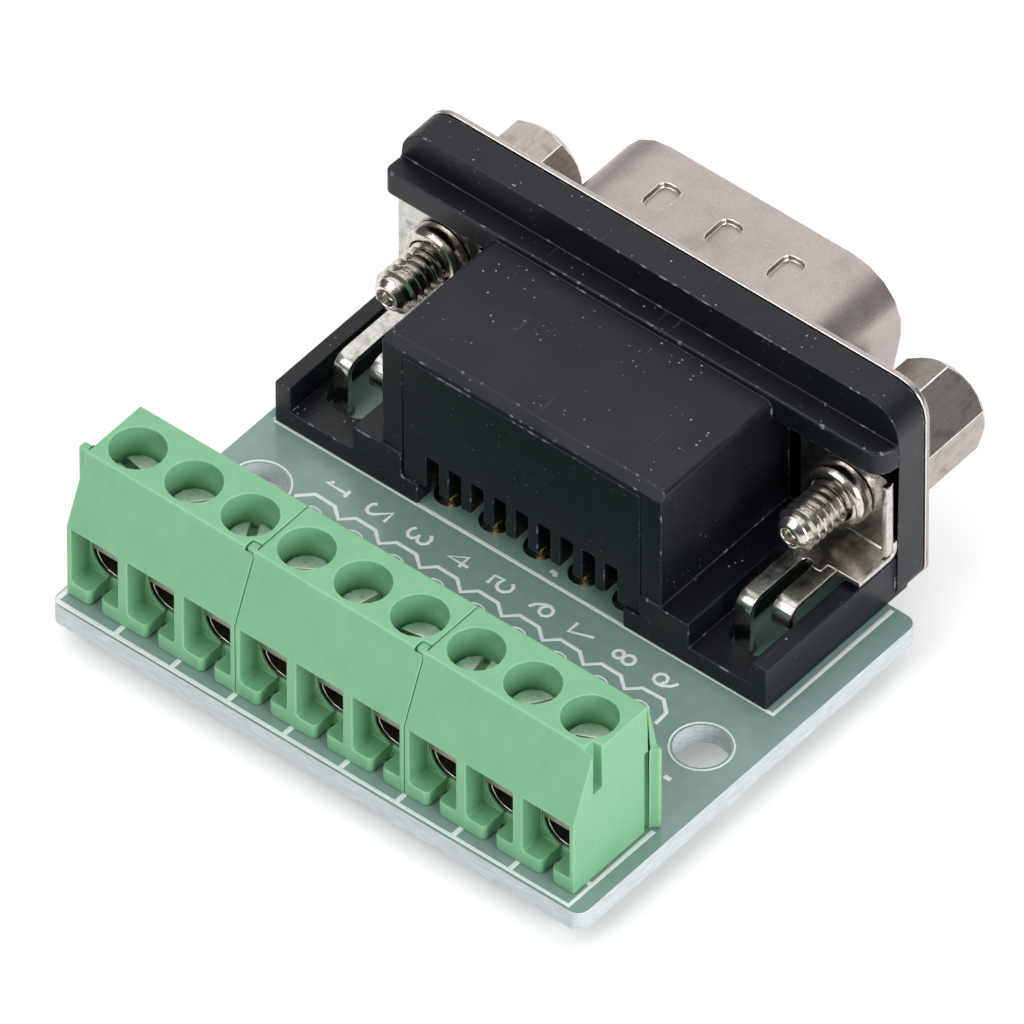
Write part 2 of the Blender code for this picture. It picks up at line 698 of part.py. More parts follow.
def make_cage_shape():
    """The round-bottomed clamping cage, with the screw's axis at the origin of the block's front."""
    steps = 8
    outer = [
        Vector((CAGE_OUTER_RADIUS * math.cos(angle), CAGE_OUTER_RADIUS * math.sin(angle)))
        for angle in (math.pi + math.pi * step / steps for step in range(steps + 1))
    ]
    inner = [point * CAGE_INNER_RADIUS / CAGE_OUTER_RADIUS for point in outer]
    top = CAGE_TOP - CAGE_CENTRE_HEIGHT
    plate_bottom = CAGE_PLATE_BOTTOM - CAGE_CENTRE_HEIGHT
    outer += [Vector((CAGE_OUTER_RADIUS, top)), Vector((-CAGE_OUTER_RADIUS, top))]
    inner += [Vector((CAGE_INNER_RADIUS, plate_bottom)), Vector((-CAGE_INNER_RADIUS, plate_bottom))]
    front = CAGE_FRONT - SCREW_FROM_FACE
    cage = plate("clamp_cage", [outer, inner], CAGE_DEPTH, "XZ", front)
    hole = rod("cage_thread_hole", (0, 0, plate_bottom - CUT_THROUGH / 2),
               SHANK_DIAMETER + 2 * THREAD_PLAY, CAGE_PLATE + CUT_THROUGH, SCREW_SIDES)
    combine(cage, hole)
    return finish(cage)


def bar_section(steps=6):
    """The contact bar inside the cage: flat above, round below to fit the arc that rises to it."""
    radius = CAGE_INNER_RADIUS - SEAT_GAP - JOIN_STEP
    centre = CAGE_CENTRE_HEIGHT + CAGE_TRAVEL
    top = BAR_TOP - JOIN_STEP
    end = math.acos((centre - top) / radius)
    angles = [end * (2 * step / steps - 1) for step in range(steps + 1)]
    return [Vector((radius * math.sin(a), centre - radius * math.cos(a))) for a in angles]


def make_contact_shape():
    """The contact bar of one way: front lip, bar through the cage, and the tail to the board."""
    lip_half = WAY_OPENING / 2 - RUNNING_GAP
    tail_half_width = TERMINAL_TAIL_WIDTH / 2
    lip_front = WEB_BACK + SEAT_GAP - SCREW_FROM_FACE
    lip_back = lip_front + BAR_LIP_DEPTH
    tail_half = TERMINAL_TAIL_THICKNESS / 2
    tail = TAIL_CENTRE - SCREW_FROM_FACE
    cavity_back = CAVITY_BACK - SCREW_FROM_FACE - RUNNING_GAP
    contact = box("terminal_contact", (-lip_half, lip_front, BAR_BOTTOM),
                  (lip_half, lip_back, BAR_TOP))
    bar_front = lip_back - BAR_LIP_DEPTH / 2
    bar = plate("contact_bar", [bar_section()], cavity_back - bar_front, "XZ", bar_front)
    combine(contact, bar, "UNION")
    tongue = box("contact_tongue", (-tail_half_width, cavity_back - JOIN_STEP, BAR_BOTTOM),
                 (tail_half_width, tail + tail_half, BAR_TOP))
    combine(contact, tongue, "UNION")
    leg = box("contact_tail", (-tail_half_width, tail - tail_half, -BOARD_THICKNESS - TAIL_PROJECTION),
              (tail_half_width, tail + tail_half, BAR_BOTTOM + BAR_THICKNESS / 2))
    combine(contact, leg, "UNION")
    return finish(contact)


def make_ways():
    """Screws, cages and contacts. Each screw and cage has its origin on the screw's axis."""
    screw = make_screw_shape()
    cage = make_cage_shape()
    contact = make_contact_shape()
    y = from_front(TERMINAL_FROM_FRONT + SCREW_FROM_FACE)
    dress(screw, SCREW_STEEL)
    dress(cage, TIN_PLATE)
    dress(contact, TIN_PLATE)
    for index, (x, angle) in enumerate(zip(way_places(), SLOT_ANGLES)):
        number = index + 1
        screw_place = (x, y, above_board(HEAD_SEAT + SEAT_GAP))
        repeat(screw, f"terminal_screw_{number}", screw_place, math.radians(angle))
        repeat(cage, f"clamp_cage_{number}", (x, y, above_board(CAGE_CENTRE_HEIGHT)))
        repeat(contact, f"terminal_contact_{number}", (x, y, above_board(0.0)))
    for pattern in (screw, cage, contact):
        bpy.data.objects.remove(pattern)


def d_outline(grow=0.0, steps=5):
    """The shell's D-shaped opening, wide side up, round the plug's axis, or one grown from it."""
    corner = SHELL_OPENING_CORNER + grow
    height = SHELL_OPENING_HEIGHT + 2 * grow
    past_arc = corner * (math.tan(SHELL_SLANT) + 1 / math.cos(SHELL_SLANT) - 1)
    half = SHELL_OPENING_WIDTH / 2 + grow + past_arc
    low_half = half - height * math.tan(SHELL_SLANT)
    corners = [
        (-low_half, -height / 2, corner),
        (low_half, -height / 2, corner),
        (half, height / 2, corner),
        (-half, height / 2, corner),
    ]
    return rounded(corners, steps)


def flange_outline(margin=0.0, steps=5):
    """The flange seen from the front, round the plug's axis, or the same drawn in by a margin."""
    half_width = FLANGE_WIDTH / 2 - margin
    top = FLANGE_TOP - PLUG_AXIS_HEIGHT - margin
    bottom = FLANGE_BOTTOM - PLUG_AXIS_HEIGHT + margin
    corners = [
        (-half_width, bottom, FLANGE_LOW_CORNER - margin),
        (half_width, bottom, FLANGE_LOW_CORNER - margin),
        (half_width, top, FLANGE_CORNER - margin),
        (-half_width, top, FLANGE_CORNER - margin),
    ]
    return rounded(corners, steps)


def make_plug_shell():
    """The pressed metal shell: flange, D-shaped collar and grounding dimples."""
    shell = plate("dsub_shell", [flange_outline(), d_outline()], FLANGE_THICKNESS, "XZ",
                  -FLANGE_THICKNESS)
    collar = plate("shell_collar", [d_outline(SHELL_WALL), d_outline()],
                   SHELL_REACH + FLANGE_THICKNESS / 2, "XZ", -FLANGE_THICKNESS / 2)
    combine(shell, collar, "UNION")
    holes = bmesh.new()
    for side in (-1, 1):
        place = (side * JACKSCREW_SPACING / 2, -FLANGE_THICKNESS - CUT_THROUGH, 0.0)
        add_rod(holes, place, STUD_DIAMETER + 2 * THREAD_PLAY,
                FLANGE_THICKNESS + 2 * CUT_THROUGH, HOLE_SIDES, "Y")
    combine(shell, object_from_bmesh("shell_holes", holes))
    for side in (-1, 1):
        for index in range(DIMPLE_COUNT):
            x = (index - (DIMPLE_COUNT - 1) / 2) * DIMPLE_PITCH
            inner_face = side * SHELL_OPENING_HEIGHT / 2
            outer_face = side * SHELL_HEIGHT / 2
            bump = dimple("dimple_bump", x, DIMPLE_WALL, inner_face - side * DIMPLE_DEPTH,
                          inner_face + side * SHELL_WALL / 2)
            combine(shell, bump, "UNION")
            pit = dimple("dimple_pit", x, 0.0, outer_face - side * DIMPLE_DEPTH,
                         outer_face + side * CUT_THROUGH)
            combine(shell, pit)
    place = (from_left(PLUG_FROM_LEFT), from_front(FLANGE_FACE_FROM_FRONT),
             above_board(PLUG_AXIS_HEIGHT))
    return dress(shell, NICKEL, place)


def dimple(name, x, grow, one_height, other_height):
    """A round-cornered pad between two heights, at the place of one grounding dimple."""
    half_width = DIMPLE_WIDTH / 2 + grow
    half_length = DIMPLE_LENGTH / 2 + grow
    middle = DIMPLE_MIDDLE_FROM_FLANGE
    corners = [
        (x - half_width, middle - half_length, DIMPLE_ROUND),
        (x + half_width, middle - half_length, DIMPLE_ROUND),
        (x + half_width, middle + half_length, DIMPLE_ROUND),
        (x - half_width, middle + half_length, DIMPLE_ROUND),
    ]
    low = min(one_height, other_height)
    return plate(name, [rounded(corners, 2)], abs(other_height - one_height), "XY", low)


def body_front_view():
    """Front view of the moulded body: low floor, arms at the ends, ledges and the high block."""
    arm_outer = BODY_WIDTH / 2 - ARM_SIDE_STEP
    arm_inner = arm_outer - ARM_WIDTH
    ledge = BLOCK_HALF_WIDTH + LEDGE_WIDTH
    right = [
        (arm_outer, SEAT_GAP, 0),
        (arm_outer, ARM_HEIGHT, BODY_EDGE_ROUND),
        (arm_inner, ARM_HEIGHT, BODY_EDGE_ROUND),
        (arm_inner, POCKET_FLOOR, 0),
        (ledge, POCKET_FLOOR, 0),
        (ledge, LEDGE_HEIGHT, BODY_EDGE_ROUND),
        (BLOCK_HALF_WIDTH, LEDGE_HEIGHT, 0),
        (BLOCK_HALF_WIDTH, BLOCK_HEIGHT, BODY_ROUND),
    ]
    left = [(-u, v, radius) for u, v, radius in reversed(right)]
    return rounded(right + left, 3)


def make_plug_body():
    """The moulded body: flange plate, shelf, hollow block over the tails, arms and pockets.

    X is measured from the plug's middle, Y from the board's front edge and Z from the board.
    """
    outline = [(u, v + PLUG_AXIS_HEIGHT) for u, v in flange_outline(BODY_MARGIN)]
    body = plate("dsub_housing", [outline], BODY_PLATE, "XZ", PLATE_FRONT)
    inside_plate = PLATE_FRONT + BODY_PLATE / 2
    foot_front = BODY_FRONT_FROM_FRONT - BODY_FOOT_LEAD
    front_part = plate("body_front_part", [body_front_view()], inside_plate - foot_front, "XZ",
                       foot_front)
    combine(body, front_part, "UNION")
    shelf_half = BODY_WIDTH / 2 - JOIN_STEP
    corners = [
        (-shelf_half, PLATE_FRONT - SHELF_DEPTH, SHELF_CORNER),
        (shelf_half, PLATE_FRONT - SHELF_DEPTH, SHELF_CORNER),
        (shelf_half, inside_plate, 0),
        (-shelf_half, inside_plate, 0),
    ]
    shelf = plate("body_shelf", [rounded(corners)], SHELF_THICKNESS, "XY",
                  SHELF_TOP - SHELF_THICKNESS)
    combine(body, bevel_all(shelf, BODY_EDGE_ROUND), "UNION")
    combine(body, block_edge_cutter())
    for side in (-1, 1):
        combine(body, leg_well(side * JACKSCREW_SPACING / 2))
    for tool in block_hollows():
        combine(body, tool)
    combine(body, body_boss(), "UNION")
    combine(body, body_holes())
    place = (from_left(PLUG_FROM_LEFT), from_front(0.0), above_board(0.0))
    return dress(body, BLACK_PLASTIC, place)


def block_edge_cutter():
    """Sets the block's front back from the foot's and takes the chamfer off its top edge."""
    front = BODY_FRONT_FROM_FRONT
    start = front - BODY_FOOT_LEAD - CUT_THROUGH
    outline = [
        (start, ARM_HEIGHT),
        (front, ARM_HEIGHT),
        (front, BLOCK_HEIGHT - BLOCK_CHAMFER),
        (front + BLOCK_CHAMFER + CUT_THROUGH, BLOCK_HEIGHT + CUT_THROUGH),
        (start, BLOCK_HEIGHT + CUT_THROUGH),
    ]
    half = BLOCK_HALF_WIDTH + CUT_THROUGH
    return plate("body_edge_cutter", [outline], 2 * half, "YZ", -half)


def leg_well(centre):
    """The round-fronted opening in the low floor that a bracket's legs go down through."""
    front = BODY_FRONT_FROM_FRONT + POCKET_FRONT_WALL
    back = PLATE_FRONT - BODY_ROUND
    corners = [
        (centre - POCKET_WIDTH / 2, front, POCKET_ROUND),
        (centre + POCKET_WIDTH / 2, front, POCKET_ROUND),
        (centre + POCKET_WIDTH / 2, back, 0),
        (centre - POCKET_WIDTH / 2, back, 0),
    ]
    return plate("body_well", [rounded(corners, 4)], POCKET_FLOOR + 2 * CUT_THROUGH, "XY",
                 -CUT_THROUGH)


def block_hollows():
    """The block is hollow and open below, and its front wall has a window for the comb."""
    inner_half = BLOCK_HALF_WIDTH - BODY_WALL
    window_half = COMB_HALF_WIDTH + SEAT_GAP
    wall_back = BODY_FRONT_FROM_FRONT + BODY_WALL
    hollow = box("body_hollow", (-inner_half, wall_back, -CUT_THROUGH),
                 (inner_half, PLATE_FRONT - SEAT_GAP, COMB_TOP + 2 * SEAT_GAP))
    foot_front = BODY_FRONT_FROM_FRONT - BODY_FOOT_LEAD
    comb_back = BODY_FRONT_FROM_FRONT + COMB_THICKNESS
    window = box("body_window",
                 (-window_half, foot_front - CUT_THROUGH, COMB_FOOT - SEAT_GAP),
                 (window_half, comb_back + SEAT_GAP, COMB_TOP + SEAT_GAP))
    under_half = window_half - BODY_WALL
    under = box("body_under_comb",
                (-under_half, foot_front - CUT_THROUGH, -CUT_THROUGH),
                (under_half, wall_back + CUT_THROUGH, COMB_FOOT + SEAT_GAP))
    return hollow, window, under


def body_boss():
    """The low D-shaped boss that fills the shell's opening round the pins."""
    outline = [(u, v + PLUG_AXIS_HEIGHT) for u, v in d_outline(-SEAT_GAP)]
    depth = BODY_PLATE / 2 + SEAT_GAP + FLANGE_THICKNESS + PLUG_BOSS
    return plate("body_boss", [outline], depth, "XZ", PLATE_BACK - BODY_PLATE / 2)


def body_holes():
    """Holes for the pins and for the two jackscrews."""
    holes = bmesh.new()
    middle = from_left(PLUG_FROM_LEFT)
    boss_face = PLATE_BACK + SEAT_GAP + FLANGE_THICKNESS + PLUG_BOSS
    front = PLATE_FRONT - CUT_THROUGH
    for x, height, _ in pin_places():
        add_rod(holes, (x - middle, front, height), PIN_DIAMETER + 2 * SEAT_GAP,
                boss_face - front + CUT_THROUGH, SOLDER_HOLE_SIDES, "Y")
    for side in (-1, 1):
        place = (side * JACKSCREW_SPACING / 2, front, PLUG_AXIS_HEIGHT)
        add_rod(holes, place, STUD_DIAMETER + 4 * THREAD_PLAY, BODY_PLATE + 2 * CUT_THROUGH,
                HOLE_SIDES, "Y")
    return object_from_bmesh("body_holes", holes)


def make_comb():
    """The comb under the block's front, with a slot for the tail of every pin."""
    comb = box("pin_organizer", (-COMB_HALF_WIDTH, 0.0, COMB_FOOT),
               (COMB_HALF_WIDTH, COMB_THICKNESS, COMB_TOP))
    slots = bmesh.new()
    count = 2 * LONG_ROW_PINS - 1
    for index in range(count):
        x = (index - (count - 1) / 2) * PIN_PITCH / 2
        low = Vector((x - COMB_SLOT_WIDTH / 2, -CUT_THROUGH, COMB_FOOT - CUT_THROUGH))
        high = Vector((x + COMB_SLOT_WIDTH / 2, COMB_THICKNESS / 2, COMB_FOOT + COMB_SLOT_HEIGHT))
        size = Matrix.Diagonal((*(high - low), 1.0))
        bmesh.ops.create_cube(slots, size=1.0, matrix=Matrix.Translation((low + high) / 2) @ size)
    combine(comb, object_from_bmesh("comb_slots", slots))
    middle = from_left(PLUG_FROM_LEFT)
    half = PIN_TAIL_DIAMETER / 2 + COMB_TAIL_PLAY
    tail_y = PIN_FRONT_ROW_FROM_FRONT - BODY_FRONT_FROM_FRONT
    top = PIN_ROW_HEIGHTS[0] + PIN_TAIL_DIAMETER / 2 + COMB_TAIL_PLAY
    for index, (x, _, _) in enumerate(pin_places()[:LONG_ROW_PINS]):
        u = x - middle
        corners = [
            (u - half, tail_y - half, half - JOIN_STEP),
            (u + half, tail_y - half, half - JOIN_STEP),
            (u + half, COMB_THICKNESS + CUT_THROUGH, 0),
            (u - half, COMB_THICKNESS + CUT_THROUGH, 0),
        ]
        low = COMB_FOOT - 2 * CUT_THROUGH
        combine(comb, plate(f"comb_tail_slot_{index + 1}", [rounded(corners, 3)], top - low, "XY", low))
    place = (middle, from_front(BODY_FRONT_FROM_FRONT), above_board(0.0))
    return dress(comb, BLACK_PLASTIC, place)


def pin_route(height, tail):
    """Points of a pin as (y from its tail, z from its own row, thickness), from the tip."""
    tip = from_front(PIN_TIP) - tail
    neck = from_front(PLATE_FRONT) - tail
    end = -above_board(height)
    thin = PIN_TAIL_DIAMETER / PIN_DIAMETER
    steps = 3
    route = [(tip, 0.0, PIN_POINT_SHARE), (tip - PIN_POINT, 0.0, 1.0)]
    route += [(neck, 0.0, 1.0), (neck - PIN_POINT, 0.0, thin)]
    for step in range(steps + 1):
        angle = math.pi / 2 * step / steps
        along = PIN_BEND * (1 - math.sin(angle))
        down = -PIN_BEND * (1 - math.cos(angle))
        route.append((along, down, thin))
    route += [(0.0, end + PIN_POINT, thin), (0.0, end, thin * PIN_POINT_SHARE)]
    return route


def make_pins():
    """Right-angle pins: straight into the shell, a bend inside the body, a tail to the board."""
    for index, (x, height, tail) in enumerate(pin_places()):
        curve = bpy.data.curves.new("pin", "CURVE")
        curve.dimensions = "3D"
        curve.bevel_depth = PIN_DIAMETER / 2
        curve.bevel_resolution = 2
        curve.use_fill_caps = True
        route = pin_route(height, tail)
        spline = curve.splines.new("POLY")
        spline.points.add(len(route) - 1)
        for point, (y, z, thickness) in zip(spline.points, route):
            point.co = (0.0, y, z, 1.0)
            point.radius = thickness
        pin = mesh_from_curve(f"contact_pin_{index + 1}", curve)
        dress(pin, GOLD, (x, tail, above_board(height)))


def sheet_strip(name, route, thickness, width, start):
    """A folded strip of sheet metal: a route (y, z) along one face, thickened to its left."""
    points = [Vector(point) for point in route]
    other_face = []
    for index, here in enumerate(points):
        arrive = here - points[index - 1] if index else points[1] - here
        leave = points[index + 1] - here if index < len(points) - 1 else arrive
        arrive.normalize()
        leave = leave.normalized()
        middle = (arrive + leave).normalized()
        reach = thickness / middle.dot(arrive)
        other_face.append(here + Vector((-middle.y, middle.x)) * reach)
    return plate(name, [points + other_face[::-1]], width, "YZ", start)


def arc(centre, radius, start_degrees, end_degrees, steps=3):
    points = []
    for step in range(steps + 1):
        angle = math.radians(start_degrees + (end_degrees - start_degrees) * step / steps)
        points.append((centre[0] + radius * math.cos(angle), centre[1] + radius * math.sin(angle)))
    return points


def leg_down(leg_front, end, drop=0.0):
    """The end of a leg's route: round the bend at its front and down."""
    radius = LEG_BEND - drop
    turn = arc((leg_front + LEG_BEND, BRACKET_FLOOR - LEG_BEND), radius, 90, 180)
    return turn + [(leg_front + drop, end)]


def bracket_floor_and_long_leg():
    """One folded strip: up inside the plate, round into the floor, and on down the long leg."""
    plate_face = BRACKET_BACK - SHEET + JOIN_STEP
    radius = BRACKET_INNER_BEND
    corner = arc((plate_face - radius, BRACKET_FLOOR + radius), radius, 0, -90)
    route = [(plate_face, BRACKET_FLOOR + 2 * SHEET)] + corner
    route += leg_down(LONG_LEG_FROM_FRONT, -BOARD_THICKNESS - TAIL_PROJECTION)
    left = LONG_LEG_FROM_AXIS - LONG_LEG_WIDTH / 2
    thickness = SHEET - 2 * JOIN_STEP
    strip = sheet_strip("bracket_floor", route, thickness, BRACKET_RIGHT - JOIN_STEP - left, left)
    slot_left = LONG_LEG_FROM_AXIS + LONG_LEG_WIDTH / 2
    slot_right = SHORT_LEG_FROM_AXIS - SHORT_LEG_WIDTH / 2
    slot_round = (slot_right - slot_left) / 2 - JOIN_STEP
    slot_end = BRACKET_APRON_FRONT - SLOT_END_LEAD
    slot_straight = slot_end - slot_round - JOIN_STEP
    front = LONG_LEG_FROM_FRONT - CUT_THROUGH
    beyond = BRACKET_RIGHT + CUT_THROUGH
    corners = [
        (slot_left, front, 0),
        (slot_left, slot_end, slot_round),
        (slot_right, slot_end, slot_round),
        (slot_right, slot_straight, 0),
        (SHORT_LEG_FROM_AXIS, slot_straight, 0),
        (SHORT_LEG_FROM_AXIS, BRACKET_APRON_FRONT, 0),
        (beyond, BRACKET_APRON_FRONT, 0),
        (beyond, front, 0),
    ]
    low = -BOARD_THICKNESS - TAIL_PROJECTION - CUT_THROUGH
    height = BRACKET_FLOOR + CUT_THROUGH - low
    combine(strip, plate("bracket_slot", [rounded(corners, 4)], height, "XY", low))
    return finish(strip)


def make_bracket_shape():
    """A pressed bracket: plate behind the nut, side flange, floor with a slot, and two legs.

    X is measured from the jackscrew's axis, Y from the board's front edge, Z from the board.
    """
    back = BRACKET_BACK
    front = back - SHEET
    side_front = front - SIDE_FLANGE_DEPTH
    corners = [
        (-BRACKET_LEFT, front, 0),
        (-BRACKET_LEFT, back, 0),
        (BRACKET_RIGHT, back, BRACKET_BEND),
        (BRACKET_RIGHT, side_front, 0),
        (BRACKET_RIGHT - SHEET, side_front, 0),
        (BRACKET_RIGHT - SHEET, front, BRACKET_BEND - SHEET),
    ]
    low = BRACKET_FLOOR + BRACKET_RELIEF
    bracket = plate("board_bracket", [rounded(corners, 3)], BRACKET_TOP - low, "XY", low)
    combine(bracket, bracket_floor_and_long_leg(), "UNION")
    route = [(BRACKET_APRON_FRONT + SHEET, BRACKET_FLOOR - JOIN_STEP)]
    route += leg_down(SHORT_LEG_FROM_FRONT, SHORT_LEG_END, JOIN_STEP)
    left = SHORT_LEG_FROM_AXIS - SHORT_LEG_WIDTH / 2 + JOIN_STEP
    short_leg = sheet_strip("bracket_short_leg", route, SHEET - 4 * JOIN_STEP,
                            SHORT_LEG_WIDTH - 2 * JOIN_STEP, left)
    combine(bracket, short_leg, "UNION")
    hole = rod("bracket_hole", (0.0, front - CUT_THROUGH, PLUG_AXIS_HEIGHT),
               STUD_DIAMETER + 2 * THREAD_PLAY, SHEET + 2 * CUT_THROUGH, HOLE_SIDES, "Y")
    combine(bracket, hole)
    return finish(bracket)


def make_nut_shape():
    """A round nut whose rounded face points to the front, with its back at y = 0."""
    outer = NUT_DIAMETER / 2
    bore = STUD_DIAMETER / 2 + THREAD_PLAY
    profile = [(bore, 0.0), (outer, 0.0)]
    profile += arc((outer - NUT_ROUND, NUT_ROUND - NUT_THICKNESS), NUT_ROUND, 0, -90)
    profile.append((bore, -NUT_THICKNESS))
    return turned("bracket_nut", profile, ROUND_SIDES, "Y", ring=True)


def make_jackscrew_shape():
    """A hexagonal jackscrew: hex outside the flange, threaded bore, stud through to the nut."""
    hex_radius = HEX_FLATS / 2 / math.cos(math.pi / 6)
    jack = rod("jackscrew", (0.0, 0.0, 0.0), 2 * hex_radius, HEX_LENGTH, 6, "Y")
    over = hex_radius + SEAT_GAP
    profile = [
        (0.0, HEX_LENGTH),
        (over - HEX_CHAMFER, HEX_LENGTH),
        (over, HEX_LENGTH - HEX_CHAMFER),
        (over, 0.0),
        (0.0, 0.0),
    ]
    combine(jack, turned("jack_turning", profile, ROUND_SIDES, "Y"), "INTERSECT")
    stud_end = STUD_TIP_FROM_FRONT - FLANGE_FACE_FROM_FRONT - SEAT_GAP
    stud = STUD_DIAMETER / 2
    profile = [
        (0.0, CUT_THROUGH),
        (stud, CUT_THROUGH),
        (stud, stud_end + STUD_CHAMFER),
        (stud - STUD_CHAMFER, stud_end),
        (0.0, stud_end),
    ]
    combine(jack, turned("jack_stud", profile, ROUND_SIDES, "Y"), "UNION")
    bore = rod("jack_bore", (0.0, HEX_LENGTH - JACK_BORE_DEPTH, 0.0), JACK_BORE,
               JACK_BORE_DEPTH + CUT_THROUGH, HOLE_SIDES, "Y")
    combine(jack, bore)
    return finish(jack)


def make_fixings():
    bracket = dress(make_bracket_shape(), NICKEL)
    nut = dress(make_nut_shape(), NICKEL)
    jack = dress(make_jackscrew_shape(), NICKEL)
    height = above_board(PLUG_AXIS_HEIGHT)
    for side, x, turn in zip(("left", "right"), jackscrew_places(), HEX_TURNS):
        repeat(bracket, f"board_bracket_{side}", (x, from_front(0.0), above_board(0.0)))
        repeat(nut, f"bracket_nut_{side}", (x, from_front(NUT_BACK), height))
        place = (x, from_front(FLANGE_FACE_FROM_FRONT + SEAT_GAP), height)
        made = repeat(jack, f"jackscrew_{side}", place)
        made.rotation_euler = (0.0, math.radians(turn), 0.0)
    for pattern in (bracket, nut, jack):
        bpy.data.objects.remove(pattern)


make_board()
make_terminal_blocks()
make_ways()
make_plug_shell()
make_plug_body()
make_comb()
make_pins()
make_fixings()
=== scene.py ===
# %% [markdown]
# # A plug and terminal adapter, dressed for its picture
#
# The imported model already has every solid of this small adapter: a circuit board, a D-shaped
# plug with nine pins, and three green terminal blocks of three ways each. This lesson gives those
# solids what a camera sees: eased edges, threads, solder, printed lines, and a material for each
# kind of plastic and metal.
#
# Every object is in metres and already stands where the model says. So the first cell loads the
# model and counts its solids. Nothing that is added may make it larger.

# %% Load the imported model
import json
import math

import bpy
from mathutils import Matrix, Vector

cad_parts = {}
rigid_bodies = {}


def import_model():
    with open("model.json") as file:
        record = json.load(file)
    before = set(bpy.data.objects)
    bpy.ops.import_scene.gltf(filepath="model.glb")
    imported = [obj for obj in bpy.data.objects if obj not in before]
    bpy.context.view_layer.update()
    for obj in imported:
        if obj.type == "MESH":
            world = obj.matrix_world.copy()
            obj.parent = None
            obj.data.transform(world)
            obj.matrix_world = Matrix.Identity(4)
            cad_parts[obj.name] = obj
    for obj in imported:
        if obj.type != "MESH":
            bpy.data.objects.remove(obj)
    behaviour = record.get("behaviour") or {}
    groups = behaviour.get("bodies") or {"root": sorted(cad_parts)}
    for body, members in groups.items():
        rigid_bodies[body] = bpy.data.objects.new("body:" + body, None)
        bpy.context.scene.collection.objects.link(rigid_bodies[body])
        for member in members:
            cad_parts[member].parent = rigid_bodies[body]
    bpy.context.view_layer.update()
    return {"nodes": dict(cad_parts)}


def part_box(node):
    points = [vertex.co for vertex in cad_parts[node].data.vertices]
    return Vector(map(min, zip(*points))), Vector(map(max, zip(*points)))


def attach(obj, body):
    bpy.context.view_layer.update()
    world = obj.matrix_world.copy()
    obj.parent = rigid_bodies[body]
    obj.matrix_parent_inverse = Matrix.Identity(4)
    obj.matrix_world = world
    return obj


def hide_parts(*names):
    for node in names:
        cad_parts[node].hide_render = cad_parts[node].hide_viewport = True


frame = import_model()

MM = 0.001
print("solids:", len(frame["nodes"]))

# %% [markdown]
# The board is what everything else is placed on. Its front left corner, on its upper face, is a
# handy zero: the printed lines, the digits and the solder are all given in millimetres to the
# right of it, behind it and above it.

# %% A zero on the board
BOARD_LOW, BOARD_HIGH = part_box("pcb")
BOARD_CORNER = Vector((BOARD_LOW.x, BOARD_LOW.y, BOARD_HIGH.z))


def on_board(right, back, up=0.0):
    """A place in metres, from millimetres to the right of, behind and above the board's corner."""
    return BOARD_CORNER + Vector((right, back, up)) * MM


def from_corner(point):
    """Millimetres to the right of, behind and above the board's corner."""
    return (point - BOARD_CORNER) / MM


print("board corner:", [round(v / MM, 2) for v in BOARD_CORNER])

# %% [markdown]
# ## The camera
#
# The photograph is taken from far away with a long lens, so lines that are parallel on the object
# stay nearly parallel. The camera stands over two metres away, about 46 degrees up and 40 degrees
# round to the right of the terminals. It is placed with three angles and a distance, which are
# easier to correct than three coordinates.

# %% Place the camera
AIM = on_board(13.277, 18.679)
ROUND_DEGREES = 39.706
UP_DEGREES = 45.680
LEAN_DEGREES = -0.111
DISTANCE = 2.2664
LENS_MM = 1662.2

camera_data = bpy.data.cameras.new("camera")
camera = bpy.data.objects.new("camera", camera_data)
bpy.context.scene.collection.objects.link(camera)
turn = Matrix.Rotation(math.radians(ROUND_DEGREES), 4, "Z")
tilt = Matrix.Rotation(math.radians(90 - UP_DEGREES), 4, "X")
lean = Matrix.Rotation(math.radians(LEAN_DEGREES), 4, "Z")
facing = turn @ tilt @ lean
back_off = facing.to_3x3() @ Vector((0, 0, DISTANCE))
camera.matrix_world = Matrix.Translation(AIM + back_off) @ facing
camera_data.lens = LENS_MM
camera_data.sensor_width = 36
camera_data.clip_start = 0.1
camera_data.clip_end = 20
bpy.context.scene.camera = camera
print("camera at", [round(v, 3) for v in camera.location])

# %% [markdown]
# ## Tools for shaping
#
# An operator works on whatever is selected, so each one is called after `only`, which selects a
# single piece, or after `pick`, which selects some of its points by their place on the board.
# `shaped_by` adds a modifier and applies it at once. What repeats is modelled once and `copied`.

# %% Tools for shaping
def only(piece):
    """Leave edit mode, and select this piece alone."""
    if bpy.context.mode != "OBJECT":
        bpy.ops.object.mode_set(mode="OBJECT")
    bpy.ops.object.select_all(action="DESELECT")
    piece.select_set(True)
    bpy.context.view_layer.objects.active = piece


def pick(piece, wanted):
    """Go to edit mode with those points selected whose place on the board is wanted."""
    only(piece)
    bpy.ops.object.mode_set(mode="EDIT")
    bpy.ops.mesh.select_mode(type="VERT")
    bpy.ops.mesh.select_all(action="DESELECT")
    bpy.ops.object.mode_set(mode="OBJECT")
    for vertex in piece.data.vertices:
        vertex.select = bool(wanted(*from_corner(vertex.co)))
    bpy.ops.object.mode_set(mode="EDIT")


def shaped_by(piece, kind, **settings):
    """Add a modifier with these settings, and apply it."""
    modifier = piece.modifiers.new(kind.lower(), kind)
    for name, value in settings.items():
        setattr(modifier, name, value)
    only(piece)
    bpy.ops.object.modifier_apply(modifier=modifier.name)


def smoothed(piece, degrees):
    """Shade the piece smooth, but for edges that are sharper than this."""
    only(piece)
    bpy.ops.object.shade_smooth_by_angle(angle=math.radians(degrees))


def linked(name, data):
    """A new object of this data, in the scene."""
    piece = bpy.data.objects.new(name, data)
    bpy.context.scene.collection.objects.link(piece)
    return piece


